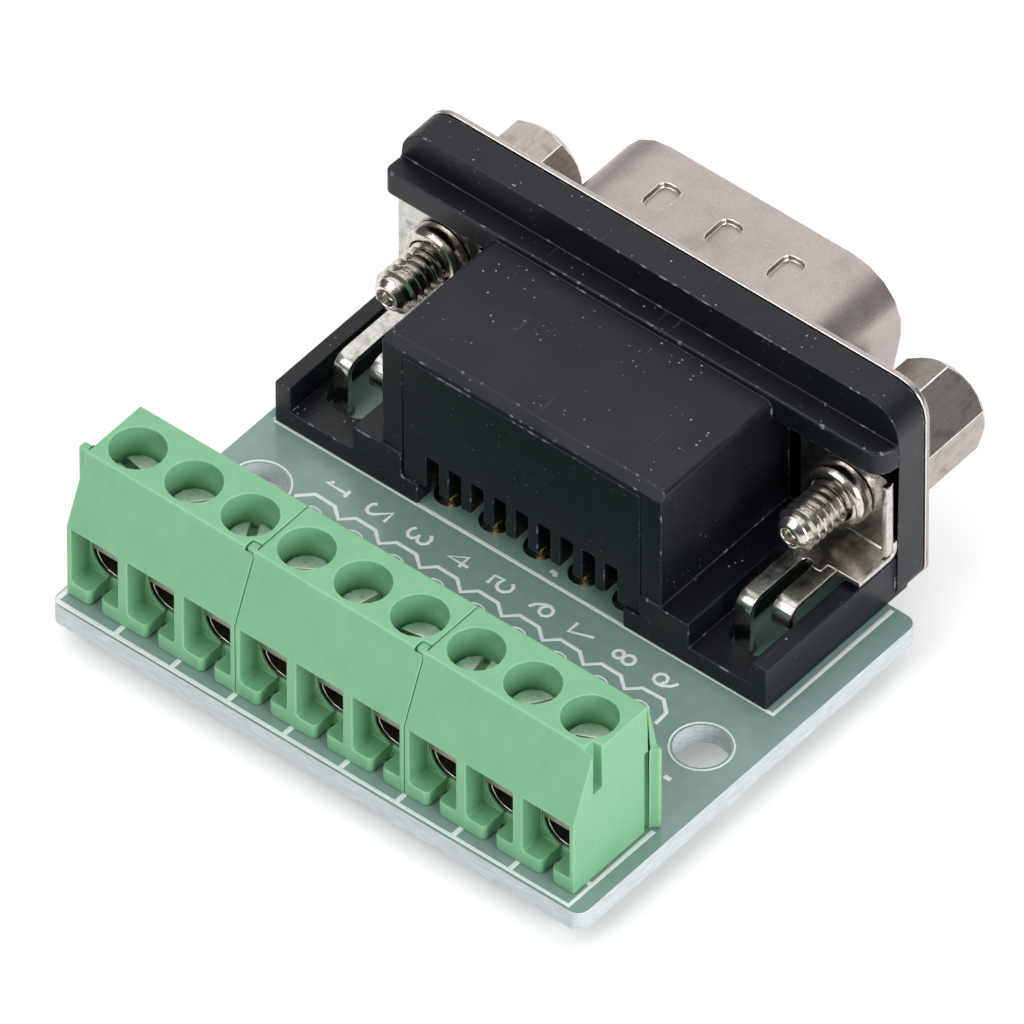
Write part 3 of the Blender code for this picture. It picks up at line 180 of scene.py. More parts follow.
def copied(piece, name, move):
    """A copy with its own mesh, moved by this much."""
    copy = linked(name, piece.data.copy())
    copy.data.transform(Matrix.Translation(move))
    return copy


print("tools:", only.__name__, pick.__name__, shaped_by.__name__, copied.__name__)

# %% [markdown]
# ## Colours and nodes
#
# A colour is written as it looks on a screen, in hex, and one function turns it to the linear
# numbers that the shader wants. Another small function adds a node of any kind, sets it up and
# links it. A pattern's scale is worked out from a real size: `per(0.5)` repeats it every half
# millimetre.
#
# Most sockets are named. Only the colour mix has several of the same name, so its share and its
# colours have a number each.

# %% Colours and nodes
SHARE, COLOUR_A, COLOUR_B = 0, 6, 7
MIXED = 2
SKIN_DEPTH = 0.02 * MM


def colour(hex_code):
    """Linear red, green, blue and alpha from an sRGB hex code."""
    parts = [int(hex_code[i:i + 2], 16) / 255 for i in (1, 3, 5)]
    return (*[p / 12.92 if p <= 0.04045 else ((p + 0.055) / 1.055) ** 2.4 for p in parts], 1.0)


def per(millimetres):
    """A texture scale in metres that repeats every so many millimetres."""
    return 1 / (millimetres * MM)


def add(tree, kind, inputs=None, **settings):
    """Add a node, set its options, and fill its inputs with values or with links."""
    node = tree.nodes.new(kind)
    for name, value in settings.items():
        setattr(node, name, value)
    for key, value in (inputs or {}).items():
        if isinstance(value, bpy.types.NodeSocket):
            tree.links.new(value, node.inputs[key])
        else:
            node.inputs[key].default_value = value
    return node


def start_material(name):
    """An empty node material, its tree, and the socket for a place on the piece."""
    material = bpy.data.materials.new(name)
    material.use_nodes = True
    tree = material.node_tree
    tree.nodes.clear()
    return material, tree, add(tree, "ShaderNodeTexCoord").outputs["Object"]


def end_material(tree, shader):
    """Join the shader to the material's output."""
    add(tree, "ShaderNodeOutputMaterial", {"Surface": shader.outputs[0]})


print("mid grey is", [round(part, 3) for part in colour("#808080")])

# %% [markdown]
# ## Black body: moulded PBT
#
# The plug's body is PBT, a hard glass-filled plastic, moulded in black. It is not truly black: in
# soft light its upper faces turn a bluish grey, from a broad sheen on the finely grained skin, and
# that bluish sheen is painted into the base colour of every face. Real ones carry dust specks and
# hair scratches. The specks are a cell pattern of which only the cores show, thinned out to
# clusters by a slow noise, and fewer on walls than on tops.
# The scratches are a noise that is stretched along one direction. The rounded edges are nicked,
# and they get a lighter version of the same material, whose paler colour is a painted highlight.

# %% Black moulded PBT
def make_black_pbt(name, base, deeper, roughness, nicks):
    """Black plastic with dust, hair scratches and, as strong as told, pale nicks."""
    cloud_mm, speck_mm, cluster_mm, hair_mm, nick_mm, grain_mm = 3.5, 0.42, 1.7, 0.35, 0.55, 0.14
    material, tree, place = start_material(name)
    clouds = add(tree, "ShaderNodeTexNoise", {"Vector": place, "Scale": per(cloud_mm),
                                              "Detail": 3.0})
    skin = add(tree, "ShaderNodeMix", {SHARE: clouds.outputs["Fac"], COLOUR_A: colour(deeper),
                                       COLOUR_B: colour(base)}, data_type="RGBA")
    stretched = add(tree, "ShaderNodeMapping", {"Vector": place, "Rotation": (0.0, 0.0, 0.6),
                                                "Scale": (1.0, 0.06, 1.0)})
    hairs = add(tree, "ShaderNodeTexNoise", {"Vector": stretched.outputs[0],
                                             "Scale": per(hair_mm), "Detail": 2.0})
    scratch = add(tree, "ShaderNodeMapRange", {
        "Value": hairs.outputs["Fac"], "From Min": 0.68, "From Max": 0.76,
        "To Min": 0.0, "To Max": 0.22})
    chips = add(tree, "ShaderNodeTexNoise", {"Vector": place, "Scale": per(nick_mm),
                                             "Detail": 4.0})
    nick = add(tree, "ShaderNodeMapRange", {
        "Value": chips.outputs["Fac"], "From Min": 0.58, "From Max": 0.66,
        "To Min": 0.0, "To Max": nicks})
    cells = add(tree, "ShaderNodeTexVoronoi", {"Vector": place, "Scale": per(speck_mm),
                                               "Randomness": 1.0})
    core = add(tree, "ShaderNodeMapRange", {
        "Value": cells.outputs["Distance"], "From Min": 0.07, "From Max": 0.15,
        "To Min": 0.85, "To Max": 0.0})
    patch = add(tree, "ShaderNodeTexNoise", {"Vector": place, "Scale": per(cluster_mm),
                                             "Detail": 3.0})
    where = add(tree, "ShaderNodeMapRange", {"Value": patch.outputs["Fac"],
                                             "From Min": 0.49, "From Max": 0.6})
    lies = add(tree, "ShaderNodeSeparateXYZ",
               {0: add(tree, "ShaderNodeNewGeometry").outputs["Normal"]})
    upper = add(tree, "ShaderNodeMapRange", {
        "Value": lies.outputs["Z"], "From Min": -0.1, "From Max": 0.6,
        "To Min": 0.25, "To Max": 1.0})
    specks = add(tree, "ShaderNodeMath", {0: core.outputs[0], 1: where.outputs[0]},
                 operation="MULTIPLY")
    dust = add(tree, "ShaderNodeMath", {0: specks.outputs[0], 1: upper.outputs[0]},
               operation="MULTIPLY")
    for mark, tint in ((scratch, "#6A6B70"), (nick, "#8F9196"), (dust, "#B9BBBE")):
        skin = add(tree, "ShaderNodeMix", {
            SHARE: mark.outputs[0], COLOUR_A: skin.outputs[MIXED], COLOUR_B: colour(tint)},
            data_type="RGBA")
    rough = add(tree, "ShaderNodeMapRange", {
        "Value": clouds.outputs["Fac"], "From Min": 0.3, "From Max": 0.7,
        "To Min": roughness - 0.06, "To Max": roughness + 0.08})
    grain = add(tree, "ShaderNodeTexNoise", {"Vector": place, "Scale": per(grain_mm),
                                             "Detail": 2.0})
    bump = add(tree, "ShaderNodeBump", {"Height": grain.outputs["Fac"], "Strength": 0.25,
                                        "Distance": SKIN_DEPTH})
    shader = add(tree, "ShaderNodeBsdfPrincipled", {
        "Base Color": skin.outputs[MIXED], "Roughness": rough.outputs[0], "IOR": 1.42,
        "Normal": bump.outputs[0]})
    end_material(tree, shader)
    return material


# The blue in both base colours is a painted sheen.
black_pbt = make_black_pbt("moulded_black_pbt", "#0C101A", "#080B13", 0.42, 0.0)
# The edge version's paler colour is a painted highlight; its pale nicks are wear.
black_pbt_edge_highlight = make_black_pbt("rubbed_black_pbt_edge", "#23262E", "#171A21", 0.36, 0.75)
print("material:", black_pbt.name, len(black_pbt.node_tree.nodes), "nodes")

# %% [markdown]
# ## Green blocks: moulded nylon
#
# Terminal blocks are nylon, which is slightly waxy: light enters it a little way, so its shadows
# are soft and coloured, and its sheen is broad. The shader's subsurface does that, with a reach
# of a few tenths of a millimetre. Close up the skin is faintly mottled, with short upright flow
# marks where the plastic filled the mould.

# %% Green moulded nylon
def make_green_nylon(name, base, deeper, roughness):
    """Waxy green plastic, faintly mottled, with flow marks."""
    cloud_mm, flow_mm, grain_mm, reach_mm = 2.2, 0.6, 0.18, 0.4
    material, tree, place = start_material(name)
    clouds = add(tree, "ShaderNodeTexNoise", {"Vector": place, "Scale": per(cloud_mm),
                                              "Detail": 4.0})
    body = add(tree, "ShaderNodeMix", {SHARE: clouds.outputs["Fac"], COLOUR_A: colour(deeper),
                                       COLOUR_B: colour(base)}, data_type="RGBA")
    run = add(tree, "ShaderNodeMapping", {"Vector": place, "Scale": (1.0, 1.0, 0.2)})
    flow = add(tree, "ShaderNodeTexNoise", {"Vector": run.outputs[0], "Scale": per(flow_mm),
                                            "Detail": 2.0})
    streak = add(tree, "ShaderNodeMapRange", {
        "Value": flow.outputs["Fac"], "From Min": 0.45, "From Max": 0.8,
        "To Min": 0.0, "To Max": 0.1})
    flowed = add(tree, "ShaderNodeMix", {
        SHARE: streak.outputs[0], COLOUR_A: body.outputs[MIXED], COLOUR_B: colour("#B4DDBB")},
        data_type="RGBA")
    rough = add(tree, "ShaderNodeMapRange", {
        "Value": clouds.outputs["Fac"], "From Min": 0.3, "From Max": 0.7,
        "To Min": roughness - 0.05, "To Max": roughness + 0.1})
    grain = add(tree, "ShaderNodeTexNoise", {"Vector": place, "Scale": per(grain_mm),
                                             "Detail": 3.0})
    bump = add(tree, "ShaderNodeBump", {"Height": grain.outputs["Fac"], "Strength": 0.2,
                                        "Distance": SKIN_DEPTH})
    shader = add(tree, "ShaderNodeBsdfPrincipled", {
        "Base Color": flowed.outputs[MIXED], "Roughness": rough.outputs[0], "IOR": 1.53,
        "Subsurface Weight": 0.2, "Subsurface Radius": (0.6, 1.0, 0.6),
        "Subsurface Scale": reach_mm * MM, "Normal": bump.outputs[0]})
    end_material(tree, shader)
    return material


green_nylon = make_green_nylon("moulded_green_nylon", "#85C195", "#74B387", 0.42)
# The edge version's paler colour is a painted highlight on the rounded edges.
green_nylon_edge_highlight = make_green_nylon("rubbed_green_nylon_edge", "#93CBA1", "#80BC91", 0.38)
print("material:", green_nylon.name, len(green_nylon.node_tree.nodes), "nodes")

# %% [markdown]
# ## Plated metals
#
# The metals on this object differ in colour and in how their surface was made. The shell is
# pressed steel with satin nickel, so it has a fine even grain. The hexagonal jackscrews are
# turned from bar and nickel plated, and show faint marks along their length, but their threads
# are rolled and shine, with small dark patches that are painted reflection. The brackets are
# bright tin over pressed steel, with dark blotches that are painted reflection. The terminal
# screws are zinc plated and cross-scratched by a driver, and the cages that they lift are dull
# inside. The pins are gold flashed brass. One recipe makes them all: a base colour, a darker
# colour in slow patches, a grain, and drawn lines along one direction.

# %% Plated metals
def make_plated(name, base, patch_colour, roughness, grain_mm, grain_strength, drawn=(1.0, 1.0, 1.0),
                patch_mm=1.6, patch_share=0.6):
    """Metal with darker patches and a grain, which may be drawn out along one direction."""
    material, tree, place = start_material(name)
    patch = add(tree, "ShaderNodeTexNoise", {"Vector": place, "Scale": per(patch_mm),
                                             "Detail": 5.0, "Roughness": 0.6})
    patched = add(tree, "ShaderNodeMapRange", {
        "Value": patch.outputs["Fac"], "From Min": 0.5, "From Max": 0.72,
        "To Min": 0.0, "To Max": patch_share})
    along = add(tree, "ShaderNodeMapping", {"Vector": place, "Scale": drawn})
    grain = add(tree, "ShaderNodeTexNoise", {"Vector": along.outputs[0], "Scale": per(grain_mm),
                                             "Detail": 3.0, "Roughness": 0.65})
    fleck = add(tree, "ShaderNodeMapRange", {
        "Value": grain.outputs["Fac"], "From Min": 0.35, "From Max": 0.7,
        "To Min": 0.0, "To Max": 0.35})
    skin = add(tree, "ShaderNodeMix", {SHARE: patched.outputs[0], COLOUR_A: colour(base),
                                       COLOUR_B: colour(patch_colour)}, data_type="RGBA")
    flecked = add(tree, "ShaderNodeMix", {
        SHARE: fleck.outputs[0], COLOUR_A: skin.outputs[MIXED], COLOUR_B: colour(patch_colour)},
        data_type="RGBA")
    rough = add(tree, "ShaderNodeMapRange", {
        "Value": patch.outputs["Fac"], "From Min": 0.3, "From Max": 0.75,
        "To Min": roughness - 0.06, "To Max": roughness + 0.14})
    bump = add(tree, "ShaderNodeBump", {"Height": grain.outputs["Fac"],
                                        "Strength": grain_strength, "Distance": SKIN_DEPTH})
    shader = add(tree, "ShaderNodeBsdfPrincipled", {
        "Base Color": flecked.outputs[MIXED], "Metallic": 1.0, "Roughness": rough.outputs[0],
        "Normal": bump.outputs[0]})
    end_material(tree, shader)
    return material


satin_nickel = make_plated("satin_nickel_on_pressed_steel", "#B8AFAB", "#918884", 0.34, 0.13, 0.6,
                           patch_mm=3.0, patch_share=0.35)
turned_nickel = make_plated("nickel_on_turned_steel", "#B8B0AA", "#786F68", 0.28, 0.12, 0.3,
                            drawn=(1.0, 0.08, 1.0), patch_mm=0.8)
# On the rolled thread and the collar, the small dark patches are painted reflection.
rolled_nickel = make_plated("nickel_on_rolled_thread", "#DDD6CE", "#5E564E", 0.13, 0.12, 0.4,
                            patch_mm=0.35, patch_share=0.55)
# A near-white nickel for rims and rounded edges: a painted highlight.
nickel_edge_highlight = make_plated("burnished_nickel_edge", "#F4F0EC", "#B7B0A8", 0.16, 0.15, 0.3,
                          patch_mm=0.5)
# On the tin, the dark blotches are painted reflection.
bright_tin = make_plated("bright_tin_on_pressed_steel", "#D6D4CF", "#86817A", 0.2, 0.25, 0.4,
                         patch_mm=0.6, patch_share=0.7)
zinc_steel = make_plated("zinc_on_screw_steel", "#EDEEEC", "#A8A6A1", 0.3, 0.2, 0.5,
                         patch_mm=0.5, patch_share=0.4)
dull_steel = make_plated("dull_plating_inside_wire_cage", "#7D706A", "#584E49", 0.5, 0.15, 0.3,
                         patch_mm=0.8)
gold_flash = make_plated("gold_flash_on_brass", "#D8B46A", "#A77F3A", 0.24, 0.1, 0.15,
                         patch_mm=0.8)
solder = make_plated("hand_run_solder", "#C6C8C8", "#8A8C8C", 0.22, 0.3, 0.3, patch_mm=0.7)
print("plated metals:", [metal.name for metal in (
    satin_nickel, turned_nickel, rolled_nickel, nickel_edge_highlight, bright_tin, zinc_steel, dull_steel,
    gold_flash, solder)])

# %% [markdown]
# ## The board: glass fibre and solder mask
#
# The board is a laminate of woven glass and resin. Its two faces are coated with solder mask, a
# glossy green varnish through which the weave shows faintly. Real threads lie half a millimetre
# apart, and they are drawn twice as coarse here so that they show at all. The board's sawn edges
# are bare laminate: pale, dull and streaked by the layers of glass. One material serves for both,
# and chooses by the way the surface faces.

# %% Glass fibre board
WEAVE_MM = 1.086
FIBRE_MM = 0.22
MASK_CLOUD_MM = 5.0
FIBRE_DEPTH = 0.03 * MM
BANDS_PER_UNIT = 20 / math.tau
MOSTLY_LEVEL = 0.7

board_green, tree, place = start_material("solder_mask_on_glass_laminate")
weave_x, weave_y = [
    add(tree, "ShaderNodeTexWave", {"Vector": place, "Scale": per(WEAVE_MM) / BANDS_PER_UNIT,
                                    "Distortion": 0.6}, bands_direction=direction)
    for direction in ("X", "Y")]
weave = add(tree, "ShaderNodeMath", {0: weave_x.outputs["Fac"], 1: weave_y.outputs["Fac"]},
            operation="MULTIPLY")
weave_share = add(tree, "ShaderNodeMath", {0: weave.outputs[0], 1: 0.12}, operation="MULTIPLY")
slow = add(tree, "ShaderNodeTexNoise", {"Vector": place, "Scale": per(MASK_CLOUD_MM),
                                        "Detail": 4.0})
mask = add(tree, "ShaderNodeMix", {SHARE: slow.outputs["Fac"], COLOUR_A: colour("#7B9791"),
                                   COLOUR_B: colour("#8AA49E")}, data_type="RGBA")
woven = add(tree, "ShaderNodeMix", {
    SHARE: weave_share.outputs[0], COLOUR_A: mask.outputs[MIXED], COLOUR_B: colour("#A3BAB2")},
    data_type="RGBA")
layers = add(tree, "ShaderNodeMapping", {"Vector": place, "Scale": (0.25, 0.25, 1.6)})
fibres = add(tree, "ShaderNodeTexNoise", {"Vector": layers.outputs[0], "Scale": per(FIBRE_MM),
                                          "Detail": 4.0, "Roughness": 0.7})
sawn = add(tree, "ShaderNodeMix", {SHARE: fibres.outputs["Fac"], COLOUR_A: colour("#98A5A8"),
                                   COLOUR_B: colour("#F3F7F9")}, data_type="RGBA")
lies = add(tree, "ShaderNodeSeparateXYZ",
           {0: add(tree, "ShaderNodeNewGeometry").outputs["Normal"]})
level = add(tree, "ShaderNodeMath", {0: lies.outputs["Z"]}, operation="ABSOLUTE")
is_face = add(tree, "ShaderNodeMath", {0: level.outputs[0], 1: MOSTLY_LEVEL},
              operation="GREATER_THAN")
skin = add(tree, "ShaderNodeMix", {
    SHARE: is_face.outputs[0], COLOUR_A: sawn.outputs[MIXED], COLOUR_B: woven.outputs[MIXED]},
    data_type="RGBA")
gloss = add(tree, "ShaderNodeMapRange", {"Value": is_face.outputs[0], "To Min": 0.75,
                                         "To Max": 0.2})
bump = add(tree, "ShaderNodeBump", {"Height": fibres.outputs["Fac"], "Strength": 0.12,
                                    "Distance": FIBRE_DEPTH})
shader = add(tree, "ShaderNodeBsdfPrincipled", {
    "Base Color": skin.outputs[MIXED], "Roughness": gloss.outputs[0], "IOR": 1.5,
    "Normal": bump.outputs[0]})
end_material(tree, shader)

board = frame["nodes"]["pcb"]
board.data.materials.clear()
board.data.materials.append(board_green)
print("material:", board_green.name, "on", board.name)

# %% [markdown]
# ## Eased edges
#
# A solid from the model has edges with no width at all, and such an edge never catches the light.
# On the real part each one is rounded by a few hundredths of a millimetre, and it is drawn as a
# thin pale line. So a copy of each solid is merged, cleaned of needless edges, and bevelled. The
# bevel puts its new faces in the second material slot, which holds a paler version: a painted
# highlight along the edges.
# Where the picture needs a slightly other shape than the solid, a `reshape` step moves points
# before the bevel.

# %% Ease a copy of a solid
SAME_POINT = 1e-6
FLAT_DEGREES, EDGE_DEGREES, SMOOTH_DEGREES = 0.5, 30, 50
BLOCK_EASE, BODY_EASE, TURNED_EASE, SHEET_EASE, SMALL_EASE, CAGE_EASE = (
    0.07, 0.06, 0.06, 0.05, 0.04, 0.035)


def eased_copy(node, name, width_mm, finish, edge_highlight_finish=None, body="adapter",
               reshape=None):
    """A copy of a solid with rounded edges, that stands for it in the picture."""
    piece = linked(name, frame["nodes"][node].data.copy())
    piece.data.materials.clear()
    piece.data.materials.append(finish)
    # The second slot, for the bevel's faces, holds a paler material: a painted highlight.
    piece.data.materials.append(edge_highlight_finish or finish)
    only(piece)
    bpy.ops.mesh.customdata_custom_splitnormals_clear()
    bpy.ops.object.mode_set(mode="EDIT")
    bpy.ops.mesh.select_all(action="SELECT")
    bpy.ops.mesh.remove_doubles(threshold=SAME_POINT)
    bpy.ops.mesh.dissolve_limited(angle_limit=math.radians(FLAT_DEGREES))
    bpy.ops.mesh.normals_make_consistent(inside=False)
    if reshape:
        reshape(piece)
    only(piece)
    shaped_by(piece, "BEVEL", width=width_mm * MM, segments=2, limit_method="ANGLE",
              angle_limit=math.radians(EDGE_DEGREES), use_clamp_overlap=False, material=1,
              miter_outer="MITER_ARC")
    smoothed(piece, SMOOTH_DEGREES)
    shaped_by(piece, "WEIGHTED_NORMAL", keep_sharp=True, weight=100)
    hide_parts(node)
    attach(piece, body)
    return piece


print("edges are rounded by", CAGE_EASE, "to", BLOCK_EASE, "mm")

# %% [markdown]
# On the green blocks three places move. The tongue that joins two blocks ends in points so close
# together that a bevel would spike, so they are merged. The lower corners of each window's recess
# are tighter than in the solid. And each window's web stands further back and is thinner, just
# before the wire cage. Heights are over the board, and depths are behind the blocks' front.

# %% Green blocks
WAYS = 9
WAY_PITCH = 3.5
FIRST_WAY = 2.07
BLOCK_FRONT = 0.9
ON_PLANE = 0.02

TONGUE_DEPTHS = (1.45, 1.7)
TONGUE_TOP = (8.3, 8.52)
TONGUE_POINTS_APART = 0.08

RECESS_HALF_WIDTH = 1.45
RECESS_FLOOR = 0.95
RECESS_DEPTH = 1.02
CORNER_REACH = 0.51
CORNER_HEIGHTS = (0.9, 1.47)
CORNER_TIGHTER = 0.4

WEB_BACK, WEB_BACK_MOVE = 1.45, 0.15
WEB_FRONT, WEB_FRONT_MOVE = 1.0, 0.42
WEB_HEIGHTS = (0.7, 4.6)


def between(value, limits):
    """Whether a value lies inside a pair of limits."""
    return limits[0] < value < limits[1]


def reshape_block(piece):
    """Merge the tongue's top, tighten each recess's lower corners, and move each web back."""
    pick(piece, lambda right, back, up: between(back - BLOCK_FRONT, TONGUE_DEPTHS)
         and between(up, TONGUE_TOP))
    bpy.ops.mesh.remove_doubles(threshold=TONGUE_POINTS_APART * MM)
    for way in range(WAYS):
        for side in (-1, 1):
            corner = FIRST_WAY + WAY_PITCH * way + side * RECESS_HALF_WIDTH
            pick(piece, lambda right, back, up: abs(right - corner) < CORNER_REACH
                 and between(up, CORNER_HEIGHTS) and back - BLOCK_FRONT < RECESS_DEPTH)
            bpy.ops.transform.resize(value=(CORNER_TIGHTER, 1, CORNER_TIGHTER),
                                     center_override=on_board(corner, 0, RECESS_FLOOR))
    for depth, move in ((WEB_BACK, WEB_BACK_MOVE), (WEB_FRONT, WEB_FRONT_MOVE)):
        pick(piece, lambda right, back, up: abs(back - BLOCK_FRONT - depth) < ON_PLANE
             and between(up, WEB_HEIGHTS))
        bpy.ops.transform.translate(value=(0, move * MM, 0))


for number in (1, 2, 3):
    block = eased_copy(f"terminal_housing_{number}", f"green_block_{number}", BLOCK_EASE,
                       green_nylon, green_nylon_edge_highlight,
                       reshape=reshape_block)
print("one green block:", len(block.data.polygons), "faces")

# %% [markdown]
# The black body and the comb under it get the same treatment. The rounding stays under half of
# the smallest step on the body, or two roundings would overlap and leave a crease. The shelf
# along the body's front is nearly square at its left end. Scaling the points of a round corner
# about its outer tip makes the rounding smaller, and moves nothing else.

# %% Body and comb
SHELF_END = 0.44
SHELF_END_REACH = 1.3
SHELF_FRONT = 24.6
SHELF_CORNER_BACK = 25.8
SHELF_HEIGHTS = (9, 10.6)
SHELF_CORNER_TIGHTER = 0.3


def square_shelf_end(piece):
    """Make the rounded corner at the shelf's left end tighter."""
    pick(piece, lambda right, back, up: abs(right - SHELF_END) < SHELF_END_REACH
         and back < SHELF_CORNER_BACK and between(up, SHELF_HEIGHTS))
    bpy.ops.transform.resize(value=(SHELF_CORNER_TIGHTER, SHELF_CORNER_TIGHTER, 1),
                             center_override=on_board(SHELF_END, SHELF_FRONT))


plug_body = eased_copy("dsub_housing", "plug_body", BODY_EASE, black_pbt, black_pbt_edge_highlight,
                       reshape=square_shelf_end)
comb = eased_copy("pin_organizer", "pin_comb", BODY_EASE, black_pbt, black_pbt_edge_highlight)
print("plug body:", len(plug_body.data.polygons), "faces")
print("comb:", len(comb.data.polygons), "faces")

# %% [markdown]
# The shell is pressed from thin sheet, so its edges are only just broken. The brackets too are
# sheet, sheared on one side and rolled over on the other. The jackscrew's stud is plain in the
# model, as thick as its thread. Here its front part is drawn in to the thread's root, and its tip
# gets the small hollow that turning leaves.

# %% Shell, brackets and jackscrews
STUD_AXES = {"left": 3.355, "right": 28.345}
STUD_HEIGHT = 6.15
STUD_TIP = 21.18
STUD_END = 28.2
STUD_PLAIN, STUD_ROOT, STUD_CREST = 1.175, 0.96, 1.165
TIP_RIM = 0.22
TIP_HOLLOW = 0.5
COLLAR_CUTS = (24.6, 24.8)
COLLAR_MIDDLE = 24.7


def thin_stud(piece):
    """Draw the stud in to its thread's root, as far as the middle of the collar."""
    for back in COLLAR_CUTS:
        pick(piece, lambda right, back, up: True)
        bpy.ops.mesh.bisect(plane_co=on_board(0, back), plane_no=(0, 1, 0))
    axis = STUD_AXES[piece.name.split("_")[-1]]
    pick(piece, lambda right, back, up: back < COLLAR_MIDDLE)
    bpy.ops.transform.resize(value=(STUD_ROOT / STUD_PLAIN, 1, STUD_ROOT / STUD_PLAIN),
                             center_override=on_board(axis, STUD_TIP, STUD_HEIGHT))
    pick(piece, lambda right, back, up: back < STUD_TIP + 0.01)
    bpy.ops.mesh.select_mode(type="FACE")
    bpy.ops.mesh.inset(thickness=TIP_RIM * MM)
    bpy.ops.mesh.extrude_region_move(TRANSFORM_OT_translate={"value": (0, TIP_HOLLOW * MM, 0)})
    bpy.ops.object.mode_set(mode="OBJECT")
    piece.data.materials.append(rolled_nickel)
    for face in piece.data.polygons:
        if from_corner(face.center).y < STUD_END:
            face.material_index = 2


shell = eased_copy("dsub_shell", "plug_shell", SHEET_EASE, satin_nickel, nickel_edge_highlight)
for side in STUD_AXES:
    eased_copy(f"board_bracket_{side}", f"board_lock_{side}", SHEET_EASE, bright_tin)
    eased_copy(f"jackscrew_{side}", f"hex_standoff_{side}", TURNED_EASE, turned_nickel,
               nickel_edge_highlight, reshape=thin_stud)
    eased_copy(f"bracket_nut_{side}", f"round_collar_{side}", SHEET_EASE, rolled_nickel)
print("plug shell:", len(shell.data.polygons), "faces")

# %% [markdown]
# The thread itself is one ridge, wound round the stud. Its section is a small trapezium that
# starts inside the root. The Screw modifier turns it round the axis while it moves it along by
# the pitch, and the two open ends are then filled.

# %% Threads
THREAD_PITCH = 0.5
THREAD_TURNS = 6
THREAD_STEPS = 20
THREAD_FROM_TIP = 0.45
RIDGE_SUNK = 0.05
RIDGE_FOOT, RIDGE_TOP = 0.85, 0.2


def wound_thread(name):
    """A ridge wound round the Y axis, from zero towards the back."""
    half = THREAD_PITCH / 2
    foot = STUD_ROOT - RIDGE_SUNK
    section = [(foot, -RIDGE_FOOT * half), (STUD_CREST, -RIDGE_TOP * half),
               (STUD_CREST, RIDGE_TOP * half), (foot, RIDGE_FOOT * half)]
    mesh = bpy.data.meshes.new(name)
    mesh.from_pydata([(radius * MM, along * MM, 0.0) for radius, along in section],
                     [(0, 1), (1, 2), (2, 3), (3, 0)], [])
    piece = linked(name, mesh)
    shaped_by(piece, "SCREW", axis="Y", angle=math.tau, screw_offset=THREAD_PITCH * MM,
              iterations=THREAD_TURNS, steps=THREAD_STEPS, render_steps=THREAD_STEPS)
    only(piece)
    bpy.ops.object.mode_set(mode="EDIT")
    bpy.ops.mesh.select_all(action="SELECT")
    bpy.ops.mesh.remove_doubles(threshold=SAME_POINT)
    bpy.ops.mesh.select_all(action="SELECT")
    bpy.ops.mesh.fill_holes(sides=4)
    bpy.ops.mesh.select_all(action="SELECT")
    bpy.ops.mesh.normals_make_consistent(inside=False)
    bpy.ops.object.mode_set(mode="OBJECT")
    piece.data.materials.append(rolled_nickel)
    smoothed(piece, 35)
    return piece


one_thread = wound_thread("thread")
for side, axis in STUD_AXES.items():
    start = on_board(axis, STUD_TIP + THREAD_FROM_TIP, STUD_HEIGHT)
    thread = copied(one_thread, f"stud_thread_{side}", start)
    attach(thread, "adapter")
bpy.data.objects.remove(one_thread)
print("thread:", len(thread.data.polygons), "faces")

# %% [markdown]
# Each way of a terminal block has a screw that turns, a cage that it lifts, and a contact bar that
# stays. The screw and the cage move with bodies of their own. The cage comes forward to just
# behind the window, where its thin rim is painted near white as a highlight, while its inside
# stays dull and brown.
# The contact bar's wide lip moves forward into the window too, so that the cage still passes
# behind it when it is lifted.

# %% Screws, cages, contact bars and pins
CAGE_FRONT, CAGE_FRONT_NOW = 1.96, 1.66
CAGE_RIM = 0.05
LIP_FRONT, LIP_FRONT_NOW = 1.5, 1.36
LIP_BACK, LIP_BACK_NOW = 1.88, 1.6
LIP_REACH = 1.3
LIP_NARROWER = 0.91


def bring_forward(piece):
    """Draw the cage's front rim forward to the window."""
    pick(piece, lambda right, back, up: back < BLOCK_FRONT + CAGE_FRONT + CAGE_RIM)
    bpy.ops.transform.translate(value=(0, (CAGE_FRONT_NOW - CAGE_FRONT) * MM, 0))


def move_lip(piece):
    """Bring the contact bar's lip forward into the window, before the cage, and narrow it."""
    centre = FIRST_WAY + WAY_PITCH * (int(piece.name.split("_")[-1]) - 1)
    for depth, now in ((LIP_BACK, LIP_BACK_NOW), (LIP_FRONT, LIP_FRONT_NOW)):
        pick(piece, lambda right, back, up: abs(back - BLOCK_FRONT - depth) < ON_PLANE)
        bpy.ops.transform.translate(value=(0, (now - depth) * MM, 0))
    pick(piece, lambda right, back, up: abs(right - centre) > LIP_REACH)
    bpy.ops.transform.resize(value=(LIP_NARROWER, 1, 1),
                             center_override=on_board(centre, BLOCK_FRONT))


for way in range(1, WAYS + 1):
    eased_copy(f"terminal_screw_{way}", f"clamping_screw_{way}", SMALL_EASE, zinc_steel,
               body=f"screw_{way}")
    eased_copy(f"clamp_cage_{way}", f"wire_cage_{way}", CAGE_EASE, dull_steel, nickel_edge_highlight,
               body=f"cage_{way}", reshape=bring_forward)
    eased_copy(f"terminal_contact_{way}", f"contact_bar_{way}", SMALL_EASE, satin_nickel,
               reshape=move_lip)
    eased_copy(f"contact_pin_{way}", f"plug_pin_{way}", SMALL_EASE, gold_flash)

# %% [markdown]
# ## Printed lines
#
# The white lines and digits on the board are silk screen: epoxy ink, pressed through a mesh, a
# few hundredths of a millimetre thick. They could be painted in a texture, but as thin beads of
# their own they keep a crisp edge at any distance. Each line is a curve with a round section,
# made a mesh, and then pressed flat.

# %% White ink
SPECKLE_MM = 0.12
INK_GRAIN_DEPTH = 0.01 * MM
INK_HEIGHT = 0.015

